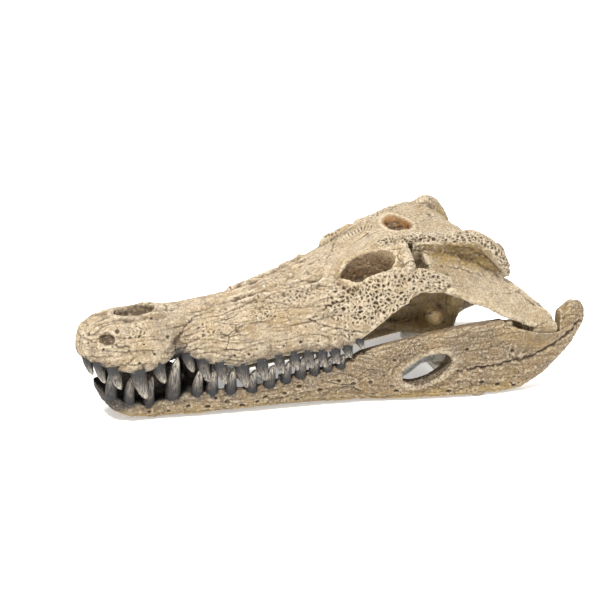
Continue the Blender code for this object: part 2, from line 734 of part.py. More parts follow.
def feet_and_bumpers(side, label):
    for end, x, out in FEET:
        ring = ((0.0, 0.0), (FOOT_R - 0.5, 0.0), (FOOT_R, 0.5), (FOOT_R, FOOT_TOP), (0.0, FOOT_TOP))
        turned(f"rubber_foot_{label}_{end}", ring, (x, side * out, 0.0), (0.0, 0.0, 1.0), RUBBER)
    tall = BUMPER_HIGH - BUMPER_LOW
    ring = ((0.0, 0.0), (BUMPER_R, 0.0), (BUMPER_R, tall - 1.2), (BUMPER_R - 0.9, tall), (0.0, tall))
    place = (BUMPER_X, side * BUMPER_Y, BUMPER_LOW)
    turned(f"closing_bumper_{label}", ring, place, (0.0, 0.0, 1.0), RUBBER, sides=12)


# ----------------------------------------------------------- air fittings


def fitting(name, look, solids, bores):
    """A moulded fitting: its first solid joined with the others, then bored."""
    made = solids[0]
    made.name = name
    made.data.materials.append(look)
    made.hide_render = False
    made.display_type = "TEXTURED"
    for holder in list(made.users_collection):
        holder.objects.unlink(made)
    PARTS.objects.link(made)
    for other in solids[1:]:
        boolean(made, "UNION", other)
    for bore in bores:
        boolean(made, "DIFFERENCE", bore)
    return made


def base_bridge():
    """Cross plate with cut corners, held up against the ledges by four screws."""
    cut = BRIDGE_CORNER
    corners = (
        (BRIDGE_FRONT + cut, -BRIDGE_HALF), (BRIDGE_REAR - cut, -BRIDGE_HALF),
        (BRIDGE_REAR, -BRIDGE_HALF + cut),
        (BRIDGE_REAR, BRIDGE_HALF - cut), (BRIDGE_REAR - cut, BRIDGE_HALF), (BRIDGE_FRONT + cut, BRIDGE_HALF),
        (BRIDGE_FRONT, BRIDGE_HALF - cut), (BRIDGE_FRONT, -BRIDGE_HALF + cut),
    )
    faces = [[(x, y, z) for x, y in corners] for z in (BRIDGE_LOW, BRIDGE_HIGH)]
    plate = loft("bridge_plate", faces, group=CUTTERS)
    bores = []
    for label, side in SIDES:
        for end, x in SCREWS_X:
            start = (x, side * SCREW_Y, BRIDGE_LOW - 1.0)
            name = f"bridge_hole_{label}_{end}"
            bores.append(rod(name, start, (x, side * SCREW_Y, 9.0), SCREW_R + GAP, group=CUTTERS, sides=12))
            place = (x, side * SCREW_Y, BRIDGE_LOW - GAP)
            pan_screw(f"bridge_screw_{label}_{end}", place, (0.0, 0.0, 1.0))
    fitting("base_bridge", PLASTIC, [plate], bores)


def air_nozzle():
    """Upright outlet under the bell: a spigot in the jaw, a flange, and a port for the tube."""
    profile = (
        (0.0, 6.2), (2.4, 6.2), (2.4, NOZZLE_SEAT + GAP), (6.0, NOZZLE_SEAT + GAP), (6.0, NOZZLE_SEAT + 2.0),
        (NOZZLE_R, NOZZLE_SEAT + 3.0), (NOZZLE_R, NOZZLE_TOP - 3.0),
        (NOZZLE_R - 1.2, NOZZLE_TOP), (0.0, NOZZLE_TOP),
    )
    post = turned("nozzle_post", profile, (NOZZLE_X, 0.0, 0.0), (0.0, 0.0, 1.0), group=CUTTERS)
    port = (NOZZLE_X + NOZZLE_ARM, 0.0, NOZZLE_PORT_Z)
    arm = rod("nozzle_arm", (NOZZLE_X, 0.0, NOZZLE_PORT_Z), port, 3.0, group=CUTTERS)
    low = (NOZZLE_X, 0.0, NOZZLE_PORT_Z - 1.5)
    up = rod("nozzle_bore", low, (NOZZLE_X, 0.0, NOZZLE_TOP + 1.0), 1.6, group=CUTTERS, sides=12)
    port = (port[0] + 1.0, 0.0, NOZZLE_PORT_Z)
    back = rod("nozzle_back", (NOZZLE_X, 0.0, NOZZLE_PORT_Z), port, TUBE_BORE, group=CUTTERS, sides=12)
    fitting("air_nozzle", PLASTIC, [post, arm], [up, back])


def air_inlet():
    """Block on the bridge with a barbed stem, pointing back between the branches, for the air line."""
    barbs = [(0.0, 0.0), (3.2, 0.0), (3.2, 11.0), (1.95, 11.0)]
    for i in range(3):
        start = 13.0 + 3.2 * i
        barbs += [(1.95, start), (2.6, start), (1.95, start + 2.6)]
    barbs += [(1.95, INLET_LONG - 0.4), (1.7, INLET_LONG), (0.0, INLET_LONG)]
    place = (INLET_X - INLET_PORT, INLET_Y, INLET_Z)
    stem = turned("inlet_stem", barbs, place, (1.0, 0.0, 0.0), group=CUTTERS)
    low = (INLET_X, INLET_Y - 4.5, BRIDGE_HIGH + GAP)
    foot = box("inlet_foot", low, (INLET_X + 5.6, INLET_Y + 4.5, INLET_Z), group=CUTTERS)
    start = (INLET_X - INLET_PORT - 1.0, INLET_Y, INLET_Z)
    bore = rod("inlet_bore", start, (INLET_X + INLET_LONG, INLET_Y, INLET_Z), 1.1, group=CUTTERS, sides=12)
    fitting("air_inlet", PLASTIC, [stem, foot], [bore])


def smooth_route(points, step):
    """A Catmull-Rom curve through the points, cut into short steps."""
    path = [Vector(point) for point in points]
    path = [2.0 * path[0] - path[1]] + path + [2.0 * path[-1] - path[-2]]
    smooth = []
    for a, b, c, d in zip(path, path[1:], path[2:], path[3:]):
        count = max(int((c - b).length / step), 1)
        for i in range(count):
            t = i / count
            square = 2.0 * a - 5.0 * b + 4.0 * c - d
            cube = 3.0 * b - a - 3.0 * c + d
            smooth.append(0.5 * (2.0 * b + (c - a) * t + square * t**2 + cube * t**3))
    return smooth + [path[-2]]


def air_tube():
    """Silicone tube from the inlet to the nozzle, as a bevelled curve."""
    curve = bpy.data.curves.new("air_tube", "CURVE")
    curve.dimensions = "3D"
    curve.bevel_depth = TUBE_R * MM
    curve.bevel_resolution = 2
    curve.use_fill_caps = True
    points = smooth_route(TUBE_ROUTE, 6.0)
    spline = curve.splines.new("POLY")
    spline.points.add(len(points) - 1)
    for slot, point in zip(spline.points, points):
        slot.co = (*(point * MM), 1.0)
    curve.materials.append(SILICONE)
    PARTS.objects.link(bpy.data.objects.new("air_tube", curve))


def tube_clips():
    """Saddle clips that hold the tube against the inside of the left branch."""
    for end, x in CLIPS_X:
        y = read_row(sorted(TUBE_ROUTE), x, 1)
        z = read_row(sorted(TUBE_ROUTE), x, 2)
        wall = read_row(RAMUS, x, 1) - read_row(RAMUS_THICKNESS, x, 1) - 0.9
        block = box(f"clip_{end}", (x - 2.0, -wall, z - 4.4), (x + 2.0, y + 3.8, z + 4.6), group=CUTTERS)
        hole = rod(f"clip_hole_{end}", (x - 4.0, y, z), (x + 4.0, y, z), CLIP_BORE, group=CUTTERS, sides=16)
        mouth = box(f"clip_mouth_{end}", (x - 4.0, y, z - 1.9), (x + 4.0, y + 6.0, z + 1.9), group=CUTTERS)
        fitting(f"tube_clip_{end}", PLASTIC, [block], [hole, mouth])


def bell_ring(x, shrink, low):
    half = read_row(HOLLOW, x, 1) - 0.9 - shrink
    top = read_row(HOLLOW, x, 2) - BELL_GAP - shrink
    return hollow_ring(x, half, top, low)


def air_bell():
    """Open-bottomed float chamber under the snout; its front lip has a notch where air spills out."""
    stations = [BELL_FRONT, -88.0, -76.0, -60.0, -34.0, -14.0, BELL_REAR]
    made = loft("air_bell", [bell_ring(x, 0.0, BELL_LOW) for x in stations], PLASTIC)
    stations[0] += BELL_WALL
    stations[-1] -= BELL_WALL
    inside = loft("bell_inside", [bell_ring(x, BELL_WALL, BELL_LOW - 3.0) for x in stations], group=CUTTERS)
    boolean(made, "DIFFERENCE", inside)
    low = (BELL_FRONT - 2.0, -2.5, BELL_LOW - 2.0)
    notch = box("bell_notch", low, (BELL_FRONT + 3.0, 2.5, BELL_LOW + 2.0), group=CUTTERS)
    boolean(made, "DIFFERENCE", notch)
    for label, x in BELL_SCREWS_X:
        roof = read_row(HOLLOW, x, 2) - BELL_GAP - BELL_WALL
        ends = (x, 0.0, roof - 2.0), (x, 0.0, roof + 4.0)
        hole = rod(f"bell_hole_{label}", *ends, SCREW_R + GAP, group=CUTTERS, sides=12)
        boolean(made, "DIFFERENCE", hole)
        pan_screw(f"bell_screw_{label}", (x, 0.0, roof - GAP - 0.5), (0.0, 0.0, 1.0), long=5.4)


cranium()
lower_jaw()
for side_label, side_sign in SIDES:
    joint_hardware(side_sign, side_label)
    feet_and_bumpers(side_sign, side_label)
base_bridge()
air_nozzle()
air_inlet()
air_tube()
tube_clips()
air_bell()
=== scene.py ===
"""Visual model of the air-driven crocodile skull ornament: sculpted castings, teeth, paint and air fittings.

The frame holds the skull along X with its snout at -X and its left side at -Y. Sculpting is done in
millimetres on fine copies of the two castings; every other part keeps its own shape and gets its finish here.
"""

import math
from types import SimpleNamespace

import bmesh
import bpy
import numpy as np
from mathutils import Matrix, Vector


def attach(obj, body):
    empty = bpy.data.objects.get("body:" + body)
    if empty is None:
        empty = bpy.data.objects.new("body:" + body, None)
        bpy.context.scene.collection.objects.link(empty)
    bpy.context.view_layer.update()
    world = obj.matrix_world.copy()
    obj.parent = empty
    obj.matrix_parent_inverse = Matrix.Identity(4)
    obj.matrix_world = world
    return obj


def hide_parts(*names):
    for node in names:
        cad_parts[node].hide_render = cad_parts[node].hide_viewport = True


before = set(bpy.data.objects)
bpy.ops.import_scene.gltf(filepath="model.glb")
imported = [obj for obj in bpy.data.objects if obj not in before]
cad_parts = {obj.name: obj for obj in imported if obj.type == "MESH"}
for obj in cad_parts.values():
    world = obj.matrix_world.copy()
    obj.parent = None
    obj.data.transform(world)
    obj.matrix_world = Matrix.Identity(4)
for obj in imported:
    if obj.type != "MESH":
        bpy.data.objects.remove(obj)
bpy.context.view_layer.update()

MM = 0.001
MOST_TRIANGLES = 190000
SKULL_VOXEL = 0.52
JAW_VOXEL = 0.48
CAST_SOFTENING = 9
# Rounds of averaging that the paint compares the surface with, for small and for large hollows.
SMALL_ROUNDS = 4
LARGE_ROUNDS = 30

# Teeth of one side: x, distance out, gum height, length, radius at the root.
UPPER_TEETH = (
    (-116.6, 7.9, 33.5, 7.5, 1.5), (-112.2, 11.0, 32.0, 9.5, 1.8), (-106.0, 13.9, 30.0, 10.5, 2.2),
    (-95.5, 15.8, 27.9, 14.0, 3.0), (-85.8, 15.4, 29.3, 9.5, 2.3), (-71.5, 14.7, 31.9, 9.0, 2.0),
    (-64.8, 16.8, 28.9, 11.0, 2.3), (-57.2, 18.6, 26.7, 10.5, 2.3), (-47.2, 19.9, 25.1, 12.2, 2.8),
    (-38.2, 21.6, 26.8, 11.0, 2.4), (-30.0, 23.1, 28.1, 9.0, 2.1), (-22.8, 24.0, 29.0, 9.2, 2.1),
    (-16.2, 25.0, 29.5, 9.2, 2.1), (-9.8, 26.2, 29.1, 9.0, 2.1), (-3.6, 27.5, 29.3, 7.6, 2.0),
    (2.2, 28.8, 30.6, 6.0, 1.8), (7.8, 30.2, 33.9, 4.8, 1.6),
)
LOWER_TEETH = (
    (-107.2, 9.0, 14.3, 14.0, 2.0), (-99.4, 10.4, 10.0, 12.6, 1.9), (-90.4, 11.6, 8.7, 13.0, 2.0),
    (-78.9, 12.8, 10.4, 19.6, 2.9), (-67.9, 15.7, 11.7, 11.5, 2.0), (-61.0, 16.8, 12.0, 11.0, 1.9),
    (-52.4, 18.2, 12.2, 11.0, 2.1), (-42.8, 20.4, 12.4, 8.6, 1.9), (-34.2, 21.8, 14.0, 8.6, 1.9),
    (-26.4, 23.0, 15.7, 8.6, 1.8), (-19.4, 23.9, 17.3, 8.6, 1.8), (-12.8, 25.0, 18.3, 6.8, 1.7),
    (-6.6, 26.0, 19.2, 5.4, 1.6), (-0.4, 27.1, 20.2, 5.0, 1.5),
)
TOOTH_FULLER = 1.58
TOOTH_LONGER = 0.5
# A tooth's length in root radii before it is sized, and how its radius falls off toward a blunt tip.
TOOTH_SLIMNESS = 4.6
TOOTH_TAPER = 0.52
TOOTH_TIP = 0.10
TOOTH_FLUTES = 10
TOOTH_FLUTE_DEPTH = 0.07
TOOTH_CURL = 0.7
TOOTH_SPLAY = math.radians(4.0)

# Lines worked into the castings along the left side, and mirrored.
PREMAXILLA_SEAM = (
    (-77, -15, 35), (-77, -15, 38), (-75, -14.5, 41), (-71, -13, 46), (-67, -11, 48.5), (-57, -9.5, 50),
)
NASAL_SEAM = ((-81, -4, 51), (-69, -5, 51), (-57, -9, 50), (-46, -11, 50), (-38, -11, 52))
SNOUT_RIDGE = ((-44, -9, 52), (-35, -9, 53.5), (-24, -12, 55.5), (-15, -15, 57.5), (-5, -16.5, 60))
NASAL_RIDGE = ((-51, -3.5, 52), (-38, -3.5, 54), (-25, -3, 58), (-15, -2.5, 61), (-4, -2, 65))
CHEEK_SEAM = ((4, -27, 53), (-5, -25, 51), (-15, -25, 45), (-9, -27, 42), (3, -31, 39), (12, -33, 38))
TABLE_RIM = (
    (20, -15, 76.5), (27, -14.5, 77), (35, -18.5, 78), (46, -23, 79), (56, -26, 78.5), (64, -31, 77),
    (71, -34.5, 73), (77, -37, 66), (80, -37.5, 60),
)
CHEEK_END = ((43, -36, 66), (47.5, -38.6, 63), (48.5, -39.4, 60), (45, -38.6, 56.6), (38, -37, 54.4))
QUADRATE_SEAM = ((48, -31, 66), (59, -30, 63), (69, -32, 59), (77, -35, 54), (87, -37, 49), (96, -42, 42))
ORBIT_RIM = (
    (3, -17.5, 62), (9, -12, 69), (18, -13, 73), (26, -17.5, 74), (28.5, -24, 71), (25, -30, 66),
    (16, -30, 62), (6, -25, 60), (3, -17.5, 62),
)
NARIS_RIM = ((-104, -1, 51), (-101, -6, 50.6), (-92, -8, 51), (-83, -6, 51.4), (-79.5, -1, 51.6))
JAW_GROOVE = (
    (54, -43, 15), (64, -45, 16), (77, -46.6, 17), (90, -47, 18), (103, -47, 23), (110, -47, 27),
    (117, -46, 33),
)
JAW_RIDGE = ((55, -43, 12), (65, -45, 9), (80, -46.6, 9), (95, -47, 12), (106, -47, 19))
# Lines that aren't mirrored. The ladder is crossed by short rungs.
FOREHEAD_CRACK = ((9, 9, 69), (6, 4, 68), (5, 2, 67), (1, -2, 66))
LADDER_SEAM = ((12, 9.5, 70), (17, 9, 72), (23, 8, 75), (28, 5, 77.5))
# Not cut: a painted shade line along the far orbit's inner rim.
FAR_ORBIT_SHADE_LINE = ((1, 15, 63), (5, 13, 66), (12, 12, 70), (20, 13.5, 73))
RUNG_SPACING = 1.7
# Each seam with the depth of its cut.
SKULL_SEAMS = ((PREMAXILLA_SEAM, 0.9), (NASAL_SEAM, 0.45), (CHEEK_SEAM, 0.8), (QUADRATE_SEAM, 0.7))

# Pores: place on the left side and radius.
PORES = (
    (-94, -11, 50, 0.8), (-92, -14, 48, 0.7), (-86, -9, 50.5, 0.7), (-80, -15, 42, 1.1),
    (-110, -14, 40, 0.7), (-116, -9, 42, 0.7), (-115, -7, 45, 0.6), (-92, -17, 41, 0.6),
    (-99, -17, 39, 0.7), (-104, -16.5, 35, 0.6), (-88, -18, 36, 0.7), (-95, -18.6, 33, 0.8),
    (-103, -12, 47, 1.2), (-58, -20, 33, 0.7), (-51, -22, 31, 0.7), (-44, -23, 31, 0.7),
    (-36, -25, 33, 0.6), (-28, -25.6, 34, 0.6), (-20, -26.6, 35, 0.7), (-12, -28, 35, 0.6),
    (-4, -29, 35.6, 0.6), (4, -31, 37, 0.6),
)
JAW_PORES = (
    (66, -45, 8, 0.9), (74, -46, 6, 0.8), (83, -46.6, 4, 0.8), (50, -42, 4.4, 0.9), (13, -33, 11, 0.8),
    (5, -31, 11, 0.8), (88, -47, 19, 0.7), (81, -47, 23, 0.8), (58, -44, 26, 0.8), (-21, -27, 12, 0.9),
    (-28, -26, 9, 0.8), (-11, -28.6, 9, 0.9), (-22, -26.4, 5, 0.8), (-37, -24.6, 8, 0.9),
    (-41, -24, 6, 0.7), (-48, -22.6, 4.4, 0.9), (-55, -21.2, 7, 0.9), (-2, -30, 13, 0.8),
    (-64, -19.6, 5.4, 0.9), (-73, -18.2, 6.6, 0.8), (-82, -16.6, 4.6, 0.8), (-91, -15, 5, 0.8),
    (-60, -20.4, 9.4, 0.7), (25, -36, 6, 0.8), (24, -36, 22, 0.7),
)

# Swellings and hollows: height, centre, radii. The first group is mirrored and the second isn't.
SIDE_FORMS = (
    (1.8, (9, -28.5, 62), (9, 4, 4)), (-1.6, (2.5, -18.5, 62.5), (3.4, 2.2, 2.4)),
    (-1.4, (-94, -8.5, 50.5), (7, 3, 3)), (-1.7, (31, -36, 63), (6.5, 4.0, 3.2)),
    (-1.2, (-26, -22, 47), (16, 5, 4)), (-1.0, (-46, -13, 49), (12, 4, 3)),
)
TOP_FORMS = (
    (1.0, (-12, 3, 60), (3.0, 2.6, 3.0)), (-1.0, (-8, 6, 62), (2.4, 1.8, 3.0)),
    (0.9, (-5, -7, 64), (3.5, 2.2, 3.0)), (0.8, (-19, 6, 59), (3.4, 2.0, 3.0)),
    (-2.2, (13, 0, 71), (15, 11.5, 7)), (-0.8, (60, 0, 78), (14, 14, 5)),
)
# Soft places on the left side, as centre and radii. The palate behind the notch is let down.
PREMAXILLA_DIP = ((-73, -14.5, 40), (4.5, 5.0, 8.0))
PREMAXILLA_PIT = ((-108.0, -12.4, 44.0), (3.9, 4.2, 3.1))
PREMAXILLA_NOTCH = ((-76, -14, 33.5), (4.5, 5.0, 4.0))
NOTCH_PALATE = ((-79, -11.2, 34.0), (7.0, 2.0, 4.0))
QUADRATE_END = ((97, -45, 37), (9.0, 6.0, 7.0))
SKULL_JOINT = ((99, -38, 30), (9, 9, 9))
CHEEK = ((13, -32, 55), (31, 12, 11.5))
CHEEK_CORNER = ((40, -37, 60.5), (10, 6, 7))
POSTORBITAL_BAR = ((33, -27, 69), (4.5, 8.0, 6.0))
TEMPORAL_BAR = ((76, -41, 50), (26, 12, 11))
EYE_SOCKET = ((15, -20.5, 61), (15.0, 10.5, 13.0))
TEMPLE_RECESS = ((46, -10, 64), (13, 9, 12))
MAXILLA_PATCHES = (
    ((-61, -17, 44), (8, 5, 7)), ((-34, -18, 48), (8, 5, 5)), ((-18, -17, 54), (11, 6, 5)),
    ((-95, -13, 46), (7, 5, 4)),
)
JAW_JOINT = ((95, -40, 30), (12, 8, 8))
JAW_SCREWS = ((67, -28, 12), (17, 6, 6))
JAW_HOLLOW = ((20, -35, 17), (16, 5, 4.0))
JAW_TOP_PATCH = ((36, -40, 30), (26, 8, 7))

# Openings: the middle, and half of the size along and across. The roof window and the nostril lie on the
# middle line, and the jaw's window leans with its rear end up.
ROOF_WINDOW_X = 39.0
ROOF_WINDOW_LONG = 6.8
ROOF_WINDOW_WIDE = 11.0
NOSTRIL_X = -92.0
NOSTRIL_LONG = 11.5
NOSTRIL_WIDE = 7.0
JAW_WINDOW_X = 39.4
JAW_WINDOW_Z = 16.8
JAW_WINDOW_LONG = 12.6
JAW_WINDOW_HIGH = 6.6
JAW_WINDOW_TILT = 25.0


# ------------------------------------------------------------ noise and distances


# Large odd numbers that scramble a cell's place and a seed.
CELL_SCRAMBLE = (73856093, 19349663, 83492791)
SEED_SCRAMBLE = 97531
LAST_SCRAMBLE = 1274126177


def hashed(cell, seed):
    """A repeatable number from 0 to 1 for each whole-number cell."""
    x, y, z = (cell[..., k] * CELL_SCRAMBLE[k] for k in range(3))
    mixed = x ^ y ^ z ^ (seed * SEED_SCRAMBLE)
    mixed = (mixed ^ (mixed >> 13)) * LAST_SCRAMBLE
    return ((mixed ^ (mixed >> 16)) & 0xFFFF) / 65535.0


def lumps(points, size, seed):
    """Smooth noise from -1 to 1 with lumps of the given size, one number or one for each axis."""
    scaled = points / np.asarray(size, float)
    low = np.floor(scaled).astype(np.int64)
    part = scaled - low
    part = part * part * (3.0 - 2.0 * part)
    total = np.zeros(len(points))
    for corner in np.ndindex(2, 2, 2):
        weight = np.prod(np.where(corner, part, 1.0 - part), axis=1)
        total += weight * hashed(low + np.array(corner), seed)
    return total * 2.0 - 1.0


def cells(points, size, seed):
    """Distances to the nearest and the next of scattered seeds, in units of the cell size."""
    scaled = points / size
    home = np.floor(scaled).astype(np.int64)
    first = np.full(len(points), 9.0)
    second = first.copy()
    for neighbour in np.ndindex(3, 3, 3):
        cell = home + np.array(neighbour) - 1
        seat = np.stack([hashed(cell, seed + k) for k in range(3)], axis=1)
        away = np.linalg.norm(cell + seat - scaled, axis=1)
        second = np.minimum(second, np.maximum(first, away))
        first = np.minimum(first, away)
    return first, second


def from_line(points, line):
    """Distance of each point from a run of straight pieces, and how far along it the nearest place is."""
    best = np.full(len(points), 1.0e3)
    along = np.zeros(len(points))
    done = 0.0
    for start, end in zip(line, line[1:]):
        first = np.array(start, float)
        way = np.array(end, float) - first
        reach = float(np.linalg.norm(way))
        part = np.clip((points - first) @ way / reach**2, 0.0, 1.0)
        away = np.linalg.norm(points - first - part[:, None] * way, axis=1)
        along = np.where(away < best, done + part * reach, along)
        best = np.minimum(best, away)
        done += reach
    return best, along


def off_line(points, line):
    return from_line(points, line)[0]


def bump(distance, width):
    """1 on a line, falling to 0 past the width."""
    return np.exp(-((distance / width) ** 2))


def ball(points, centre, radii):
    """1 at the centre of a soft ellipsoid, falling to 0 past its radii."""
    return np.exp(-np.sum(((points - np.array(centre)) / np.array(radii)) ** 2, axis=1))


def raised(points, forms):
    return sum(height * ball(points, centre, radii) for height, centre, radii in forms)


def step(value, low, high):
    """0 at low and 1 at high, which may be the smaller, with a smooth rise between."""
    part = np.clip((value - low) / (high - low), 0.0, 1.0)
    return part * part * (3.0 - 2.0 * part)


# ------------------------------------------------------------ meshes


def linked(name, mesh):
    made = bpy.data.objects.new(name, mesh)
    bpy.context.scene.collection.objects.link(made)
    return made


def plain(obj, name):
    """The object with its modifiers applied, as a new plain object; the old one is removed."""
    graph = bpy.context.evaluated_depsgraph_get()
    mesh = bpy.data.meshes.new_from_object(obj.evaluated_get(graph))
    bpy.data.objects.remove(obj, do_unlink=True)
    mesh.name = name
    return linked(name, mesh)


def fine_cast(node, name, voxel, softening):
    """A casting's own shape, closed, finely meshed and with its hard edges softened."""
    cast = linked(name + "_rough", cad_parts[node].data.copy())
    bm = bmesh.new()
    bm.from_mesh(cast.data)
    bmesh.ops.remove_doubles(bm, verts=bm.verts, dist=1.0e-6)
    bm.to_mesh(cast.data)
    bm.free()
    cast.data.materials.clear()
    skin = cast.modifiers.new("skin", "REMESH")
    skin.mode = "VOXEL"
    skin.voxel_size = voxel * MM
    skin.use_smooth_shade = True
    soften = cast.modifiers.new("soften", "SMOOTH")
    soften.factor = 0.5
    soften.iterations = softening
    return plain(cast, name)


def read(mesh, key):
    values = np.empty(len(mesh.vertices) * 3, np.float32)
    mesh.vertices.foreach_get(key, values)
    return values.reshape(-1, 3).astype(float)


def write(mesh, points):
    mesh.vertices.foreach_set("co", (points * MM).astype(np.float32).ravel())
    mesh.update()


def keep(mesh, coats):
    """Stores where each coat of paint, painted shade and painted highlight lies, for the material to read."""
    for name, values in coats.items():
        layer = mesh.attributes.new(name, "FLOAT", "POINT")
        layer.data.foreach_set("value", np.clip(values, 0.0, 1.0).astype(np.float32))


def averaged(mesh, points, rounds):
    """The points after some rounds of moving each to the middle of its neighbours."""
    pairs = np.empty(len(mesh.edges) * 2, np.int32)
    mesh.edges.foreach_get("vertices", pairs)
    near, far = pairs.reshape(-1, 2).T
    ends = np.concatenate([near, far])
    others = np.concatenate([far, near])
    count = np.maximum(np.bincount(ends, minlength=len(points)), 1)
    for _ in range(rounds):
        sums = [np.bincount(ends, weights=points[others, k], minlength=len(points)) for k in range(3)]
        points = 0.5 * points + 0.5 * np.stack(sums, axis=1) / count[:, None]
    return points


def tuck_teeth(points, rows, sign):
    """Pushes the casting's plain tooth cones into the gum, where the modelled teeth stand instead."""
    for x, out, gum, length, radius in rows:
        reach = np.hypot(points[:, 0] - x, np.abs(points[:, 1]) - out)
        rise = sign * (points[:, 2] - gum)
        held = (reach < radius + 0.9) & (rise > 0.1) & (rise < length + 1.5)
        points[held, 2] = gum + sign * (0.1 + 0.03 * (rise[held] - 0.1))
    return points


def thinned(obj, name):
    """The object simplified, its flattest areas first, until it is light enough."""
    count = sum(len(p.vertices) - 2 for p in obj.data.polygons)
    if count > MOST_TRIANGLES:
        fewer = obj.modifiers.new("thin", "DECIMATE")
        fewer.ratio = MOST_TRIANGLES / count
    made = plain(obj, name)
    made.data.shade_smooth()
    return made


def mirrored(points):
    """The same places on the left side."""
    return np.stack([points[:, 0], -np.abs(points[:, 1]), points[:, 2]], axis=1)


def drift(points, size, reach, seed):
    """The points shaken by noise, so that a straight line in them wanders."""
    return points + reach * np.stack([lumps(points, size, seed + k) for k in range(3)], axis=1)


def pitting(points, size, seed):
    """Honeycomb relief: 0 on the walls between pits and -1 at the bottom of each."""
    shaken = drift(points, size * 1.6, size * 0.35, seed + 20)
    first, second = cells(shaken, size, seed)
    return -step(second - first, 0.08, 0.55)


def grain(points, seed):
    """Fibrous wrinkles that run along the skull and swirl a little, from -1 in a furrow to 0."""
    turned = drift(points, 16.0, 4.2, seed)
    fine = lumps(turned, (15.0, 1.9, 1.5), seed + 5)
    broad = lumps(turned, (24.0, 3.8, 3.2), seed + 9)
    return -(bump(fine, 0.16) * 0.6 + bump(broad, 0.13) * 0.8)


def cracks(points, seed):
    """Long thin splits that run along the skull in broken lengths, 1 in a split."""
    first, second = cells(drift(points, 7.0, 1.6, seed) * (0.3, 1.0, 1.0), 8.0, seed + 3)
    return bump(second - first, 0.028) * step(lumps(points, 13.0, seed + 6), 0.1, 0.4)


def gums(points, rows, sign):
    """How near the points are to the foot of a tooth, and a swelling over each root."""
    near = np.zeros(len(points))
    swell = np.zeros(len(points))
    for x, out, gum, _, radius in rows:
        foot = (x, -out, gum)
        root = (x, -out - radius * 0.6, gum - sign * 4.4)
        near = np.maximum(near, ball(points, foot, (radius * 1.7, radius * 2.0 + 1.6, 3.2)))
        swell = np.maximum(swell, ball(points, root, (radius * 1.5, 4.0, 5.0)))
    return near, swell


def pored(points, pores, squash, wide, narrow):
    """1 in each listed pore. A pore's slope runs between two parts of its radius."""
    found = np.zeros(len(points))
    for x, y, z, radius in pores:
        away = np.linalg.norm((points - (x, y, z)) * squash, axis=1)
        found = np.maximum(found, step(away, radius * wide, radius * narrow))
    return found


def sprinkled(points, spacing, seed):
    """1 in small stray pores, one to a cell."""
    return step(cells(points, spacing, seed)[0], 0.16, 0.06)


class Casting:
    """A casting while it is sculpted: its mesh, its points in millimetres and their normals."""

    def __init__(self, node, name, voxel, rows, sign):
        self.made = fine_cast(node, name, voxel, CAST_SOFTENING)
        self.mesh = self.made.data
        self.points = tuck_teeth(read(self.mesh, "co") / MM, rows, sign)
        self.side = mirrored(self.points)
        self.settle()

    def settle(self):
        """Gives the mesh the points as they are now, and reads its normals again."""
        write(self.mesh, self.points)
        self.normals = read(self.mesh, "normal")

    def push(self, heights):
        self.points = self.points + self.normals * heights[:, None]

    def proud(self, rounds):
        """How far each point stands out of the surface averaged around it."""
        return np.sum((self.points - averaged(self.mesh, self.points, rounds)) * self.normals, axis=1)


# ------------------------------------------------------------ cranium


def cranium_guides(cast):
    """What the skull's sculpting and paint follow: distances from its lines, and places from 0 to 1."""
    side = cast.side
    x, y, z = side.T
    shaken = drift(side, 3.0, 0.55, 40)
    at = SimpleNamespace(x=x, y=y, z=z)
    at.near, at.swell = gums(side, UPPER_TEETH, -1.0)
    at.orbit = off_line(side, ORBIT_RIM)
    at.ridge = off_line(shaken, SNOUT_RIDGE)
    at.below_ridge = off_line(shaken + (0, -3.0, 2.2), SNOUT_RIDGE)
    at.crest = off_line(shaken, NASAL_RIDGE)
    at.naris = off_line(side, NARIS_RIM)
    at.cheek_end = off_line(shaken, CHEEK_END)
    at.behind_end = off_line(shaken - (2.0, -0.6, -0.2), CHEEK_END)
    at.rim = off_line(side, TABLE_RIM)
    at.seams = [off_line(drift(side, 1.6, 0.75, 60 + k), line) for k, (line, _) in enumerate(SKULL_SEAMS)]
    at.crack = off_line(drift(cast.points, 1.6, 0.7, 70), FOREHEAD_CRACK)
    at.ladder, at.rung = from_line(cast.points, LADDER_SEAM)
    at.hole = np.hypot((x - ROOF_WINDOW_X) / ROOF_WINDOW_LONG, y / ROOF_WINDOW_WIDE)
    at.roof = step(z, 70.0, 73.0)
    at.dip = ball(side, *PREMAXILLA_DIP) * step(z, 52.0, 46.0)
    at.pit = step(ball(side, *PREMAXILLA_PIT), 0.34, 0.6)
    at.crumble = ball(side, *QUADRATE_END)
    down = cast.normals[:, 2]
    at.hidden = step(down, -0.15, -0.6) * step(z, 58.0, 52.0) * step(np.abs(y), 36.0, 30.0)
    at.free = (1.0 - at.hidden) * (1.0 - step(ball(side, *SKULL_JOINT), 0.15, 0.5))
    return at


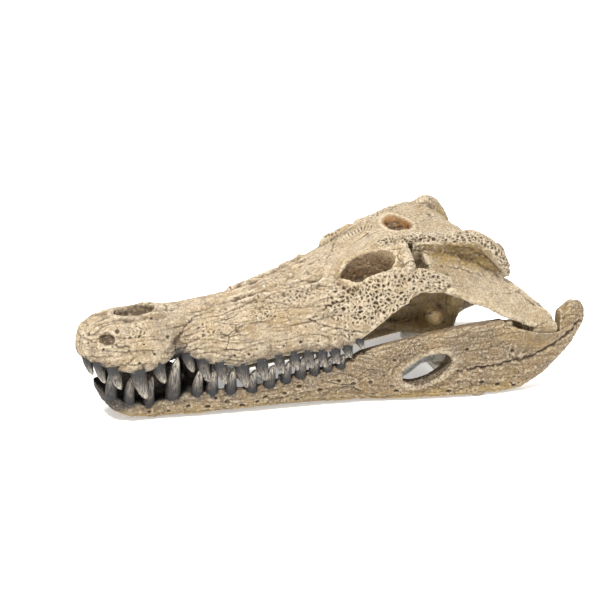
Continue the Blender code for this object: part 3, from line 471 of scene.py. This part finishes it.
def form_cranium(cast, at):
    """The large shapes: ridges, rims, swellings over the roots, hollows, and the bowl of the roof window."""
    form = 1.3 * at.swell * step(at.x, 14.0, 4.0)
    form += 2.3 * bump(at.ridge, 1.5) - 2.1 * bump(at.below_ridge, 2.6)
    form += 1.2 * bump(at.crest, 1.8) + 0.7 * bump(at.naris, 1.3) + 0.35 * bump(at.orbit, 1.4)
    form += 0.7 * bump(at.cheek_end, 1.2) - 0.9 * bump(at.behind_end, 1.0)
    form += raised(cast.side, SIDE_FORMS) + raised(cast.points, TOP_FORMS)
    form -= 2.3 * at.dip + 2.6 * at.pit
    form += 0.6 * lumps(cast.side, (15.0, 8.0, 8.0), 3) + 0.3 * lumps(cast.points, 4.5, 4)
    form += at.crumble * (0.7 * lumps(cast.points, 1.9, 5) + 0.3)
    bowl = 3.4 * step(at.hole, 0.86, 0.4) * step(np.abs(at.y), 8.5, 6.0)
    form += (0.6 * bump(at.hole - 1.12, 0.14) - bowl) * at.roof
    cast.push(form * at.free)
    cast.points[:, 2] -= 5.0 * ball(cast.side, *NOTCH_PALATE) * step(-cast.normals[:, 2], 0.2, 0.7)
    cast.settle()


def pit_cranium(cast, at):
    """Depths of the honeycomb on the cheek, the table's rim, the maxilla and the postorbital bar."""
    side, points = cast.side, cast.points
    cheek = ball(side, *CHEEK) * step(at.x, -14.0, -2.0) * step(at.orbit, 0.6, 2.4)
    cheek = np.maximum(cheek, ball(side, *CHEEK_CORNER)) * (1.0 - step(at.x, 47.0, 50.0))
    at.smooth_cheek = step(cheek, 0.1, 0.4)
    at.maxilla = step(np.maximum.reduce([ball(side, *patch) for patch in MAXILLA_PATCHES]), 0.3, 0.8)
    table = step(at.z, 73.0, 76.0) * step(at.x, 14.0, 26.0) * 0.35
    near_side = 0.55 + 0.45 * step(points[:, 1], 8.0, -8.0)
    at.band = step(at.rim, 5.0, 3.0) * near_side * step(cast.normals[:, 2], -0.5, -0.1)
    pits = 1.25 * step(cheek, 0.12, 0.5) * pitting(points, 2.0, 11)
    pits += 1.15 * at.band * pitting(points, 1.8, 12)
    pits += 0.7 * at.maxilla * pitting(points, 1.9, 13)
    pits += 0.45 * np.maximum(table, ball(side, *POSTORBITAL_BAR) * 0.8) * pitting(points, 1.9, 14)
    return pits


def relieve_cranium(cast, at):
    """The fine relief: honeycomb, grain, splits, seams, the ladder of stitches and pores."""
    side = cast.side
    pits = pit_cranium(cast, at)
    outer = step(cast.normals[:, 2], -0.55, -0.2)
    snout = step(at.x, 8.0, -10.0) * outer
    at.furrows = snout * (1.0 - 0.5 * at.maxilla) * grain(side, 21)
    at.furrows += 0.3 * (1.0 - snout) * (1.0 - at.smooth_cheek) * grain(side, 25)
    at.splits = cracks(side, 90) * (1.0 - 0.7 * at.smooth_cheek) * outer
    lines = 0.38 * at.furrows - 0.55 * at.splits
    for away, (_, deep) in zip(at.seams, SKULL_SEAMS):
        lines -= deep * bump(away, 0.42)
    lines -= 0.6 * bump(at.crack, 0.4)
    rungs = step(np.sin(at.rung * 2.0 * math.pi / RUNG_SPACING), 0.0, 0.6) * step(at.rung, 3.0, 5.0)
    lines -= 0.5 * step(at.ladder, 2.6, 1.6) * rungs
    at.pores = pored(side, PORES, (1.0, 1.0, 1.0), 1.3, 0.5)
    at.stray = sprinkled(side, 4.4, 31) * step(at.x, 34.0, 10.0) * step(lumps(side, 14.0, 32), -0.1, 0.3)
    lines -= 0.9 * at.pores + 0.6 * at.stray
    fine = 0.18 * lumps(cast.points, 1.4, 35) + 0.12 * lumps(cast.points, 0.75, 36)
    cast.push((pits + lines + fine) * at.free)
    cast.settle()


def coat_cranium(cast, at):
    """Where each coat of the skull's paint lies, with painted shade in the hollows, under the rims and in the
    mouth, and painted highlights on what stands proud.
    """
    side, x, y, z = cast.side, at.x, at.y, at.z
    down = cast.normals[:, 2]
    small = cast.proud(SMALL_ROUNDS)
    large = cast.proud(LARGE_ROUNDS)
    eye = step(ball(side, *EYE_SOCKET), 0.25, 0.6) * step(at.orbit, 1.0, 2.6)
    temple = step(z, 77.2, 74.0) * step(x, 34.0, 36.5) * step(z - 0.33 * (80.0 - x), 55.5, 58.5)
    temple *= step(np.abs(y), 34.5, 31.0) * step(z, 50.0, 54.0)
    temple *= np.maximum(step(down, 0.45, 0.1), step(z, 71.5, 70.0) * step(x, 80.0, 72.0))
    window = step(at.hole, 1.04, 0.9) * step(z, 68.0, 70.0)
    nostril = step(np.hypot((x - NOSTRIL_X) / NOSTRIL_LONG, y / NOSTRIL_WIDE), 1.0, 0.8)
    nostril *= step(z, 46.0, 47.0) * step(z, 51.5, 50.0)
    recess = ball(side, *TEMPLE_RECESS)
    mouth = at.hidden * step(z, 55.0, 50.0)
    inner = step(x, 18.0, 26.0) * step(np.abs(y), 31.0, 26.0) * step(z, 62.0, 54.0)

    # Brown wash that is also painted shade: darker in every hollow, in the orbit, the nostril, the temple
    # recess, under the cheek and in the mouth.
    wash_and_shade = (step(-small, 0.02, 0.2) * 0.85 + step(-large, 0.08, 0.6) * 0.7) * (1.0 - 0.7 * window)
    wash_and_shade += at.pores + at.stray + 0.6 * at.pit + 0.3 * at.dip - 0.45 * at.furrows + 0.8 * at.splits
    wash_and_shade += 0.35 * bump(at.below_ridge, 1.8) + 0.7 * bump(at.crack, 0.6) + 0.8 * bump(at.seams[0], 0.7)
    wash_and_shade += 0.8 * bump(at.seams[2], 0.6) + 0.5 * bump(at.seams[3], 0.5)
    wash_and_shade += 0.6 * eye + 0.1 * inner + 0.35 * at.band + 0.55 * nostril + 0.7 * recess + 0.35 * mouth
    # Painted shade along the far orbit's inner rim, and a ring of painted shade just inside the roof window's
    # rim.
    wash_and_shade += 1.3 * bump(off_line(cast.points, FAR_ORBIT_SHADE_LINE), 1.2) + 0.6 * window * bump(at.hole - 0.86, 0.1)
    wash_and_shade += 0.45 * temple * step(large, 0.3, -0.3) + 0.4 * temple * step(x, 52.0, 38.0)
    # Painted shadow on the downward faces under the table's rim.
    wash_and_shade += 0.5 * step(at.rim, 3.0, 0.0) * step(-down, 0.1, 0.5)

    # Chalky dry brushing that is also painted highlight: lighter on what stands proud, on the temporal bar
    # and just outside the roof window's rim.
    brushing_and_highlight = step(small, 0.01, 0.10) * 0.8 + step(large, 0.10, 0.5) * 0.5 + 0.5 * ball(side, *TEMPORAL_BAR)
    brushing_and_highlight *= (1.0 - 0.9 * eye) * (1.0 - 0.9 * window) * (1.0 - 0.6 * inner)
    brushing_and_highlight += 0.5 * bump(at.hole - 1.16, 0.12) * at.roof

    ochre = 0.7 * recess + 0.95 * temple + 0.35 * at.crumble + 0.75 * inner
    ochre += 0.25 * step(at.orbit, 3.0, 1.0) + 0.2 * step(-large, 0.2, 0.8)
    ochre += 0.25 * step(lumps(side, 12.0, 62), 0.1, 0.7)

    # Black at the foot of each tooth and in the notch; the darkening of the mouth's underside, more in its
    # hollows, is painted shade.
    black_and_shade = 1.2 * at.near * step(z, 38.5, 31.0) + 0.95 * ball(side, *PREMAXILLA_NOTCH)
    black_and_shade += 0.75 * mouth * step(x, -20.0, -60.0) + 0.27 * mouth * step(large, 0.0, -0.3)
    keep(cast.mesh, {"wash_and_shade": wash_and_shade, "brushing_and_highlight": brushing_and_highlight, "ochre": ochre, "rust": window + 0.35 * eye, "black_and_shade": black_and_shade})


def sculpt_cranium():
    cast = Casting("cranium", "skull_casting", SKULL_VOXEL, UPPER_TEETH, -1.0)
    at = cranium_guides(cast)
    form_cranium(cast, at)
    relieve_cranium(cast, at)
    coat_cranium(cast, at)
    return thinned(cast.made, "skull_casting")


# ------------------------------------------------------------ lower jaw


def jaw_guides(cast):
    """What the jaw's sculpting and paint follow."""
    side = cast.side
    x, y, z = side.T
    at = SimpleNamespace(x=x, y=y, z=z)
    at.near, at.swell = gums(side, LOWER_TEETH, 1.0)
    at.groove = off_line(drift(side, 2.2, 0.8, 80), JAW_GROOVE)
    at.ledge = off_line(drift(side, 4.0, 0.8, 81), JAW_RIDGE)
    tilt = math.radians(JAW_WINDOW_TILT)
    along, up = x - JAW_WINDOW_X, z - JAW_WINDOW_Z
    at.across = along * math.cos(tilt) + up * math.sin(tilt)
    upward = up * math.cos(tilt) - along * math.sin(tilt)
    at.ring = (np.hypot(at.across / JAW_WINDOW_LONG, upward / JAW_WINDOW_HIGH) - 1.0) * JAW_WINDOW_HIGH
    at.outward = step(-cast.normals[:, 1] * np.sign(-cast.points[:, 1]), -0.2, 0.25)
    at.free = (1.0 - step(ball(side, *JAW_JOINT), 0.1, 0.4)) * (1.0 - step(ball(side, *JAW_SCREWS), 0.2, 0.5))
    at.free *= step(z, 0.2, 1.4) * (0.25 + 0.75 * at.outward)
    return at


def form_jaw(cast, at):
    """The large shapes: swellings over the roots, the raised rim of the window, the ledge and the groove."""
    form = 0.55 * at.swell + 0.6 * bump(at.ring - 1.4, 1.5) - 0.45 * bump(at.ring - 4.4, 2.0)
    form += 0.6 * bump(at.ledge, 1.6) - 0.5 * bump(at.groove, 1.6)
    form += 0.3 * lumps(cast.side, 10.0, 43) + 0.14 * lumps(cast.points, 4.0, 44)
    form -= 0.5 * ball(cast.side, *JAW_HOLLOW)
    cast.push(form * at.free)
    cast.settle()


def relieve_jaw(cast, at):
    """The fine relief: grain, splits, patches of pitting, the groove's cut and pores."""
    side, points = cast.side, cast.points
    at.pores = pored(side, JAW_PORES, (0.72, 0.5, 1.0), 1.4, 0.6)
    at.stray = sprinkled(side, 4.2, 51) * step(lumps(side, 12.0, 52), -0.1, 0.3)
    at.splits = cracks(side, 95) * step(at.x, 100.0, 90.0)
    at.furrows = grain(side, 53)
    upper = step(at.x, 60.0, 20.0) * ball(side, *JAW_TOP_PATCH)
    lines = 0.3 * at.furrows - 0.5 * at.splits
    lines += 0.35 * step(upper, 0.2, 0.7) * pitting(points, 1.5, 54)
    lines += 0.3 * pitting(points, 2.6, 55) * step(lumps(side, 12.0, 56), 0.0, 0.5)
    lines -= 1.0 * bump(at.groove, 0.55) + 1.0 * at.pores + 0.6 * at.stray
    fine = 0.18 * lumps(points, 1.4, 57) + 0.12 * lumps(points, 0.75, 58)
    cast.push((lines + fine) * at.free)
    cast.settle()


def coat_jaw(cast, at):
    """Where each coat of the jaw's paint lies, with painted shade in the hollows, on the inner faces and in
    the window, and painted highlights on what stands proud. The jaw has no rust.
    """
    x, y, z = at.x, at.y, at.z
    small = cast.proud(SMALL_ROUNDS)
    large = cast.proud(LARGE_ROUNDS)
    inside = (1.0 - at.outward) * step(-cast.normals[:, 2], 0.9, 0.2)
    window = step(at.ring, 0.6, -0.4) * step(np.abs(at.across), 14.5, 12.0)
    # Brown wash that is also painted shade: darker in hollows, toward the bottom of the front, on the inner
    # faces and inside the window.
    wash_and_shade = step(-small, 0.02, 0.2) * 0.8 + step(-large, 0.10, 0.7) * 0.45 + at.pores + at.stray
    wash_and_shade += 0.6 * at.splits - 0.35 * at.furrows + 0.22 * step(z, 13.0, 2.0) * step(x, 60.0, 20.0)
    wash_and_shade += 0.8 * bump(at.groove, 0.7) + 0.45 * inside + 0.95 * window
    # Dry brushing that is also painted highlight on what stands proud and on the window's raised rim.
    brushing_and_highlight = step(small, 0.01, 0.10) * 0.7 + step(large, 0.10, 0.5) * 0.4 + 0.5 * bump(at.ring - 1.0, 1.0)
    ochre = 0.9 * step(z, 9.0, 1.5) + 0.4 * step(lumps(cast.side, 11.0, 61), 0.1, 0.7)
    # Black at the foot of each tooth; the black on the inner faces toward the front and on the mouth floor at
    # the front is painted shade.
    black_and_shade = 1.15 * at.near * step(z, 6.0, 9.5) + 0.25 * inside * step(x, 20.0, -40.0)
    black_and_shade += 0.9 * step(x, -48.0, -62.0) * step(np.abs(y), 15.0, 11.0) * step(z, 5.0, 8.0)
    keep(cast.mesh, {"wash_and_shade": wash_and_shade, "brushing_and_highlight": brushing_and_highlight, "ochre": ochre, "rust": np.zeros_like(wash_and_shade), "black_and_shade": black_and_shade})


def sculpt_jaw():
    cast = Casting("lower_jaw", "jaw_casting", JAW_VOXEL, LOWER_TEETH, 1.0)
    at = jaw_guides(cast)
    form_jaw(cast, at)
    relieve_jaw(cast, at)
    coat_jaw(cast, at)
    return thinned(cast.made, "jaw_casting")


# ------------------------------------------------------------ teeth


def tooth_tree():
    """Stands one curved, fluted tooth on each point; the points carry each tooth's size and turn."""
    tree = bpy.data.node_groups.new("tooth_row", "GeometryNodeTree")
    face = tree.interface
    face.new_socket("Geometry", in_out="INPUT", socket_type="NodeSocketGeometry")
    for label, kind in (("Flutes", "NodeSocketInt"), ("Flute depth", "NodeSocketFloat"),
                        ("Curl", "NodeSocketFloat"), ("Paint", "NodeSocketMaterial")):
        face.new_socket(label, in_out="INPUT", socket_type=kind)
    face.new_socket("Geometry", in_out="OUTPUT", socket_type="NodeSocketGeometry")

    def add(kind, **values):
        node = tree.nodes.new(kind)
        for key, value in values.items():
            setattr(node, key, value)
        return node

    def link(source, target):
        tree.links.new(source, target)

    def maths(operation, first, second):
        node = add("ShaderNodeMath", operation=operation)
        for socket, value in zip(node.inputs, (first, second)):
            if isinstance(value, float):
                socket.default_value = value
            else:
                link(value, socket)
        return node.outputs[0]

    given = add("NodeGroupInput")
    made = add("NodeGroupOutput")
    axis = add("GeometryNodeCurveQuadraticBezier")
    axis.inputs["Resolution"].default_value = 12
    axis.inputs["Start"].default_value = (0.0, 0.0, -0.12 * TOOTH_SLIMNESS)
    axis.inputs["Middle"].default_value = (0.0, 0.0, 0.45 * TOOTH_SLIMNESS)
    tip = add("ShaderNodeCombineXYZ")
    link(given.outputs["Curl"], tip.inputs["X"])
    tip.inputs["Z"].default_value = TOOTH_SLIMNESS
    link(tip.outputs[0], axis.inputs["End"])
    along = add("GeometryNodeSplineParameter")
    left = maths("SUBTRACT", 1.0, along.outputs["Factor"])
    taper = maths("MULTIPLY", maths("POWER", left, TOOTH_TAPER), 1.0 - TOOTH_TIP)
    taper = maths("ADD", taper, TOOTH_TIP)
    marked = add("GeometryNodeStoreNamedAttribute", data_type="FLOAT", domain="POINT")
    marked.inputs["Name"].default_value = "root_to_tip"
    link(axis.outputs[0], marked.inputs["Geometry"])
    link(along.outputs["Factor"], marked.inputs["Value"])
    flutes = add("GeometryNodeCurveStar")
    flutes.inputs["Outer Radius"].default_value = 1.0
    link(given.outputs["Flutes"], flutes.inputs["Points"])
    link(maths("SUBTRACT", 1.0, given.outputs["Flute depth"]), flutes.inputs["Inner Radius"])
    body = add("GeometryNodeCurveToMesh")
    link(marked.outputs[0], body.inputs["Curve"])
    link(flutes.outputs[0], body.inputs["Profile Curve"])
    link(taper, body.inputs["Scale"])
    body.inputs["Fill Caps"].default_value = True
    smooth = add("GeometryNodeSetShadeSmooth")
    link(body.outputs[0], smooth.inputs["Geometry"])
    size = add("GeometryNodeInputNamedAttribute", data_type="FLOAT_VECTOR")
    size.inputs["Name"].default_value = "size"
    turn = add("GeometryNodeInputNamedAttribute", data_type="FLOAT_VECTOR")
    turn.inputs["Name"].default_value = "turn"
    row = add("GeometryNodeInstanceOnPoints")
    link(given.outputs["Geometry"], row.inputs["Points"])
    link(smooth.outputs[0], row.inputs["Instance"])
    link(turn.outputs[0], row.inputs["Rotation"])
    link(size.outputs[0], row.inputs["Scale"])
    real = add("GeometryNodeRealizeInstances")
    link(row.outputs[0], real.inputs[0])
    painted = add("GeometryNodeSetMaterial")
    link(real.outputs[0], painted.inputs["Geometry"])
    link(given.outputs["Paint"], painted.inputs["Material"])
    link(painted.outputs[0], made.inputs[0])
    return tree


def tooth_row(name, rows, down, tree, paint):
    """One jaw's teeth, both sides, as one piece."""
    places, sizes, turns = [], [], []
    for number, (x, out, gum, length, radius) in enumerate(rows):
        for sign in (-1.0, 1.0):
            chance = hashed(np.array([number, int(sign) + 1, 5]), 3 if down else 4)
            places.append((x * MM, sign * out * MM, gum * MM))
            wide = (0.75 * radius + 0.6) * TOOTH_FULLER * (0.95 + 0.1 * chance)
            sizes.append((wide * MM, wide * MM, (length + TOOTH_LONGER) / TOOTH_SLIMNESS * MM))
            splay = TOOTH_SPLAY * sign
            flip = math.pi + splay if down else -splay
            turns.append((flip, 0.0, 0.25 * (chance - 0.5)))
    mesh = bpy.data.meshes.new(name)
    mesh.from_pydata(places, [], [])
    for label, values in (("size", sizes), ("turn", turns)):
        layer = mesh.attributes.new(label, "FLOAT_VECTOR", "POINT")
        layer.data.foreach_set("vector", np.array(values, np.float32).ravel())
    seeds = linked(name + "_seeds", mesh)
    grow = seeds.modifiers.new("teeth", "NODES")
    grow.node_group = tree
    values = {"Flutes": TOOTH_FLUTES, "Flute depth": TOOTH_FLUTE_DEPTH, "Curl": TOOTH_CURL, "Paint": paint}
    for socket in tree.interface.items_tree:
        if socket.in_out == "INPUT" and socket.name in values:
            grow[socket.identifier] = values[socket.name]
    made = plain(seeds, name)
    bm = bmesh.new()
    bm.from_mesh(made.data)
    bmesh.ops.recalc_face_normals(bm, faces=bm.faces)
    bm.to_mesh(made.data)
    bm.free()
    return made


# ------------------------------------------------------------ finishes


class Finish:
    """A material built node by node, with patterns in millimetres on Object coordinates."""

    def __init__(self, name, roughness, metallic=0.0):
        self.material = bpy.data.materials.new(name)
        self.material.use_nodes = True
        self.tree = self.material.node_tree
        self.shader = self.tree.nodes["Principled BSDF"]
        self.shader.inputs["Roughness"].default_value = roughness
        self.shader.inputs["Metallic"].default_value = metallic
        place = self.tree.nodes.new("ShaderNodeTexCoord")
        scale = self.tree.nodes.new("ShaderNodeMapping")
        scale.inputs["Scale"].default_value = (1.0 / MM, 1.0 / MM, 1.0 / MM)
        self.tree.links.new(place.outputs["Object"], scale.inputs["Vector"])
        self.place = scale.outputs[0]

    def put(self, socket, value):
        if isinstance(value, bpy.types.NodeSocket):
            self.tree.links.new(value, socket)
        elif isinstance(value, tuple):
            socket.default_value = (*value, 1.0)
        else:
            socket.default_value = value

    def noise(self, size, detail=3.0, stretch=(1.0, 1.0, 1.0), low=0.35, high=0.65):
        """Noise of the given lump size in millimetres, spread so that low to high becomes 0 to 1."""
        mapping = self.tree.nodes.new("ShaderNodeMapping")
        mapping.inputs["Scale"].default_value = tuple(1.0 / (size * s) for s in stretch)
        self.tree.links.new(self.place, mapping.inputs["Vector"])
        node = self.tree.nodes.new("ShaderNodeTexNoise")
        node.inputs["Scale"].default_value = 1.0
        node.inputs["Detail"].default_value = detail
        self.tree.links.new(mapping.outputs[0], node.inputs["Vector"])
        return self.spread(node.outputs[0], low, high)

    def spread(self, value, low, high, bottom=0.0, top=1.0):
        node = self.tree.nodes.new("ShaderNodeMapRange")
        node.interpolation_type = "SMOOTHSTEP"
        self.put(node.inputs["Value"], value)
        node.inputs["From Min"].default_value = low
        node.inputs["From Max"].default_value = high
        node.inputs["To Min"].default_value = bottom
        node.inputs["To Max"].default_value = top
        return node.outputs["Result"]

    def attribute(self, name):
        node = self.tree.nodes.new("ShaderNodeAttribute")
        node.attribute_name = name
        return node.outputs["Fac"]

    def maths(self, operation, first, second, clamp=True):
        node = self.tree.nodes.new("ShaderNodeMath")
        node.operation = operation
        node.use_clamp = clamp
        self.put(node.inputs[0], first)
        self.put(node.inputs[1], second)
        return node.outputs[0]

    def mix(self, amount, first, second):
        node = self.tree.nodes.new("ShaderNodeMix")
        node.data_type = "RGBA"
        self.put(node.inputs["Factor"], amount)
        self.put(node.inputs[6], first)
        self.put(node.inputs[7], second)
        return node.outputs[2]

    def coat(self, base, where, strength, colour):
        """The base with a coat of another colour laid over it."""
        return self.mix(self.maths("MULTIPLY", where, strength), base, colour)

    def colour(self, value):
        self.put(self.shader.inputs["Base Color"], value)

    def gloss(self, value, low, high):
        """Roughness that wanders from low to high with the value."""
        self.put(self.shader.inputs["Roughness"], self.spread(value, 0.0, 1.0, low, high))

    def relief(self, height, distance, strength=1.0):
        node = self.tree.nodes.new("ShaderNodeBump")
        node.inputs["Strength"].default_value = strength
        node.inputs["Distance"].default_value = distance * MM
        self.put(node.inputs["Height"], height)
        self.tree.links.new(node.outputs[0], self.shader.inputs["Normal"])


CHALK = (0.80, 0.72, 0.60)
SAND = (0.15, 0.10, 0.058)
OCHRE = (0.40, 0.27, 0.085)
RUST = ((0.58, 0.26, 0.055), (0.38, 0.22, 0.09))
# The brown wash doubles as painted shade, the dry brush as painted highlight, and the black as painted shade
# in the mouth.
BROWN_WASH_AND_SHADE = (0.070, 0.043, 0.024)
DRY_BRUSH_AND_HIGHLIGHT = (0.82, 0.72, 0.55)
BLACK_PAINT_AND_SHADE = (0.022, 0.021, 0.022)
SLATE = ((0.015, 0.015, 0.017), (0.075, 0.066, 0.057))
TOOTH_STAIN = (0.26, 0.19, 0.12)
TOOTH_PALE = (0.58, 0.52, 0.43)
TOOTH_FOOT = (0.012, 0.012, 0.013)


def painted_bone(name, light, warm, grey):
    """Cream basecoat in uneven patches, brown wash with painted shade in the hollows, chalky brushing with
    painted highlights on what stands proud, and black paint with painted shade in the mouth.
    """
    paint = Finish(name, 0.72)
    base = paint.mix(paint.noise(9.0, 4.0), light, warm)
    base = paint.coat(base, paint.noise(5.0, 5.0, low=0.48, high=0.66), 0.6, grey)
    flecks = paint.noise(0.6, 4.0, low=0.50, high=0.64)
    base = paint.coat(base, flecks, 0.5, paint.mix(0.6, light, CHALK))
    base = paint.coat(base, paint.noise(0.45, 3.0, low=0.50, high=0.66), 0.85, SAND)
    base = paint.coat(base, paint.attribute("ochre"), paint.noise(3.0, 3.0, low=0.25, high=0.6), OCHRE)
    base = paint.coat(base, paint.attribute("rust"), 0.9, paint.mix(paint.noise(2.2, 4.0), *RUST))
    # The brown wash coat, which also carries painted shade in the hollows.
    wash_and_shade = paint.maths("MULTIPLY", paint.attribute("wash_and_shade"), paint.noise(1.6, 3.0, low=0.2, high=0.5))
    base = paint.coat(base, wash_and_shade, 0.94, BROWN_WASH_AND_SHADE)
    # The dry-brush coat, which also carries painted highlights on what stands proud.
    brushing_and_highlight = paint.maths("MULTIPLY", paint.attribute("brushing_and_highlight"), paint.noise(1.2, 3.0, low=0.3, high=0.6))
    base = paint.coat(base, brushing_and_highlight, 0.8, paint.mix(0.4, DRY_BRUSH_AND_HIGHLIGHT, light))
    # The black coat: black paint at the gums, and painted shade in the mouth.
    black_and_shade = paint.maths("MULTIPLY", paint.attribute("black_and_shade"), paint.noise(1.4, 4.0, low=0.2, high=0.48))
    base = paint.coat(base, black_and_shade, 0.93, BLACK_PAINT_AND_SHADE)
    paint.colour(base)
    paint.gloss(paint.noise(2.0), 0.6, 0.84)
    fine = paint.noise(0.5, 4.0, low=0.2, high=0.8)
    grit = paint.maths("ADD", fine, paint.noise(1.5, 2.0, low=0.2, high=0.8), clamp=False)
    paint.relief(grit, 0.3)
    return paint.material


def painted_tooth():
    """Slate paint in streaks from root to tip, black at the foot and brushed pale toward the tip."""
    paint = Finish("painted_tooth", 0.5)
    streak = paint.noise(0.5, 4.0, stretch=(1.0, 1.0, 9.0), low=0.38, high=0.62)
    base = paint.mix(streak, *SLATE)
    base = paint.coat(base, paint.noise(2.6, 3.0, low=0.5, high=0.7), 0.55, TOOTH_STAIN)
    tip = paint.spread(paint.attribute("root_to_tip"), 0.28, 1.05)
    base = paint.coat(base, tip, paint.maths("ADD", streak, 0.1), TOOTH_PALE)
    foot = paint.spread(paint.attribute("root_to_tip"), 0.42, 0.1)
    base = paint.coat(base, foot, 0.9, TOOTH_FOOT)
    paint.colour(base)
    paint.gloss(streak, 0.36, 0.6)
    paint.relief(streak, 0.12)
    return paint.material


def moulded(name, dark, pale, roughness, grit, metallic=0.0, stretch=(1.0, 1.0, 1.0)):
    """A moulded or turned finish: faint patches, a fine surface grain and uneven gloss."""
    finish = Finish(name, roughness, metallic)
    finish.colour(finish.mix(finish.noise(4.0, 4.0, stretch=stretch), dark, pale))
    fine = finish.noise(0.35, 3.0, stretch=stretch, low=0.2, high=0.8)
    finish.gloss(fine, roughness * 0.8, min(roughness * 1.25, 1.0))
    finish.relief(fine, grit)
    return finish.material


def clear_silicone():
    silicone = moulded("silicone_air_line", (0.78, 0.81, 0.79), (0.86, 0.88, 0.86), 0.28, 0.01)
    silicone.node_tree.nodes["Principled BSDF"].inputs["Transmission Weight"].default_value = 0.8
    return silicone


SKULL_PAINT = painted_bone("painted_resin_skull", (0.50, 0.395, 0.26), (0.38, 0.27, 0.14), (0.28, 0.23, 0.17))
JAW_PAINT = painted_bone("painted_resin_jaw", (0.28, 0.195, 0.10), (0.215, 0.14, 0.062), (0.16, 0.125, 0.085))
TOOTH_PAINT = painted_tooth()
PLASTIC = moulded("brown_nylon_moulding", (0.045, 0.034, 0.025), (0.07, 0.053, 0.038), 0.42, 0.03)
SILICONE = clear_silicone()
STEEL = moulded("stainless_steel", (0.52, 0.51, 0.49), (0.66, 0.65, 0.63), 0.30, 0.01, 1.0, (1.0, 6.0, 1.0))
RUBBER = moulded("moulded_rubber", (0.30, 0.24, 0.16), (0.38, 0.31, 0.21), 0.78, 0.04)
NYLON = moulded("natural_nylon", (0.66, 0.63, 0.56), (0.76, 0.73, 0.66), 0.48, 0.02)

FITTINGS = (
    (("air_bell", "air_nozzle"), PLASTIC),
    (("base_bridge", "air_inlet", "tube_clip_"), NYLON),
    (("air_tube",), SILICONE),
    (("bell_screw_", "bridge_screw_", "hinge_pin_"), STEEL),
    (("closing_bumper_", "rubber_foot_"), RUBBER),
    (("hinge_bush_", "hinge_washer_"), NYLON),
)


def finish_fittings():
    for name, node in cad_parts.items():
        for starts, look in FITTINGS:
            if name.startswith(starts):
                node.data.materials.clear()
                node.data.materials.append(look)


def build_castings():
    """Sculpts the castings and stands their teeth. The teeth carry their paint already."""
    tree = tooth_tree()
    # Piece, paint, body, slot, and the node that the piece replaces.
    pieces = (
        (sculpt_cranium(), SKULL_PAINT, "upper_jaw", "skull_resin", "cranium"),
        (sculpt_jaw(), JAW_PAINT, "lower_jaw_base", "jaw_resin", "lower_jaw"),
        (tooth_row("upper_teeth", UPPER_TEETH, True, tree, TOOTH_PAINT),
         None, "upper_jaw", "skull_resin", None),
        (tooth_row("lower_teeth", LOWER_TEETH, False, tree, TOOTH_PAINT),
         None, "lower_jaw_base", "jaw_resin", None),
    )
    for piece, look, body, slot, node in pieces:
        if look:
            piece.data.materials.clear()
            piece.data.materials.append(look)
        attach(piece, body)
        if node:
            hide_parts(node)


# ------------------------------------------------------------ studio


FLOOR_HALF = 4.0
FLOOR_GLOW = 0.36
WORLD_GLOW = 0.45
LIT_POINT = Vector((0.0, 0.0, 0.04))
# Lamps: name, place, size, power, colour.
LAMPS = (
    ("key", (-0.35, -0.35, 0.95), 0.16, 13.2, (1.0, 0.985, 0.96)),
    ("fill", (0.8, -0.5, 0.45), 0.7, 1.6, (1.0, 1.0, 1.0)),
    ("top", (0.15, 0.6, 0.8), 0.5, 6.0, (1.0, 1.0, 1.0)),
)
CAMERA_AZIMUTH = math.radians(-20.0)
CAMERA_ELEVATION = math.radians(23.5)
CAMERA_DISTANCE = 0.65
CAMERA_TARGET = Vector((0.0, 0.0, 0.035))
LENS_LENGTH = 79.8
LENS_SHIFT = (-0.036, 0.0247)


def aim(thing, way):
    thing.rotation_mode = "QUATERNION"
    thing.rotation_quaternion = way.to_track_quat("-Z", "Y")


def light_up():
    for name, place, size, power, colour in LAMPS:
        light = bpy.data.lights.new(name, "AREA")
        light.shape = "DISK"
        light.size = size
        light.energy = power
        light.color = colour
        lamp = linked(name, light)
        lamp.location = place
        aim(lamp, LIT_POINT - Vector(place))
    world = bpy.data.worlds.new("studio")
    world.use_nodes = True
    sky = world.node_tree.nodes["Background"]
    sky.inputs["Color"].default_value = (1.0, 1.0, 1.0, 1.0)
    sky.inputs["Strength"].default_value = WORLD_GLOW
    bpy.context.scene.world = world
    bpy.context.scene.view_settings.view_transform = "Standard"


def lay_floor():
    bm = bmesh.new()
    bmesh.ops.create_grid(bm, x_segments=1, y_segments=1, size=FLOOR_HALF)
    mesh = bpy.data.meshes.new("floor")
    bm.to_mesh(mesh)
    bm.free()
    pale = bpy.data.materials.new("pale_floor")
    pale.use_nodes = True
    shader = pale.node_tree.nodes["Principled BSDF"]
    shader.inputs["Base Color"].default_value = (0.93, 0.93, 0.93, 1.0)
    shader.inputs["Roughness"].default_value = 0.9
    shader.inputs["Specular IOR Level"].default_value = 0.1
    shader.inputs["Emission Color"].default_value = (1.0, 1.0, 1.0, 1.0)
    shader.inputs["Emission Strength"].default_value = FLOOR_GLOW
    mesh.materials.append(pale)
    linked("floor", mesh)


def place_camera():
    level = math.cos(CAMERA_ELEVATION)
    forward = Vector((-math.sin(CAMERA_AZIMUTH) * level, math.cos(CAMERA_AZIMUTH) * level,
                      -math.sin(CAMERA_ELEVATION)))
    lens = bpy.data.cameras.new("camera")
    lens.sensor_width = 36.0
    lens.lens = LENS_LENGTH
    lens.shift_x, lens.shift_y = LENS_SHIFT
    camera = linked("camera", lens)
    camera.location = CAMERA_TARGET - forward * CAMERA_DISTANCE
    aim(camera, forward)
    bpy.context.scene.camera = camera


build_castings()
finish_fittings()
lay_floor()
light_up()
place_camera()
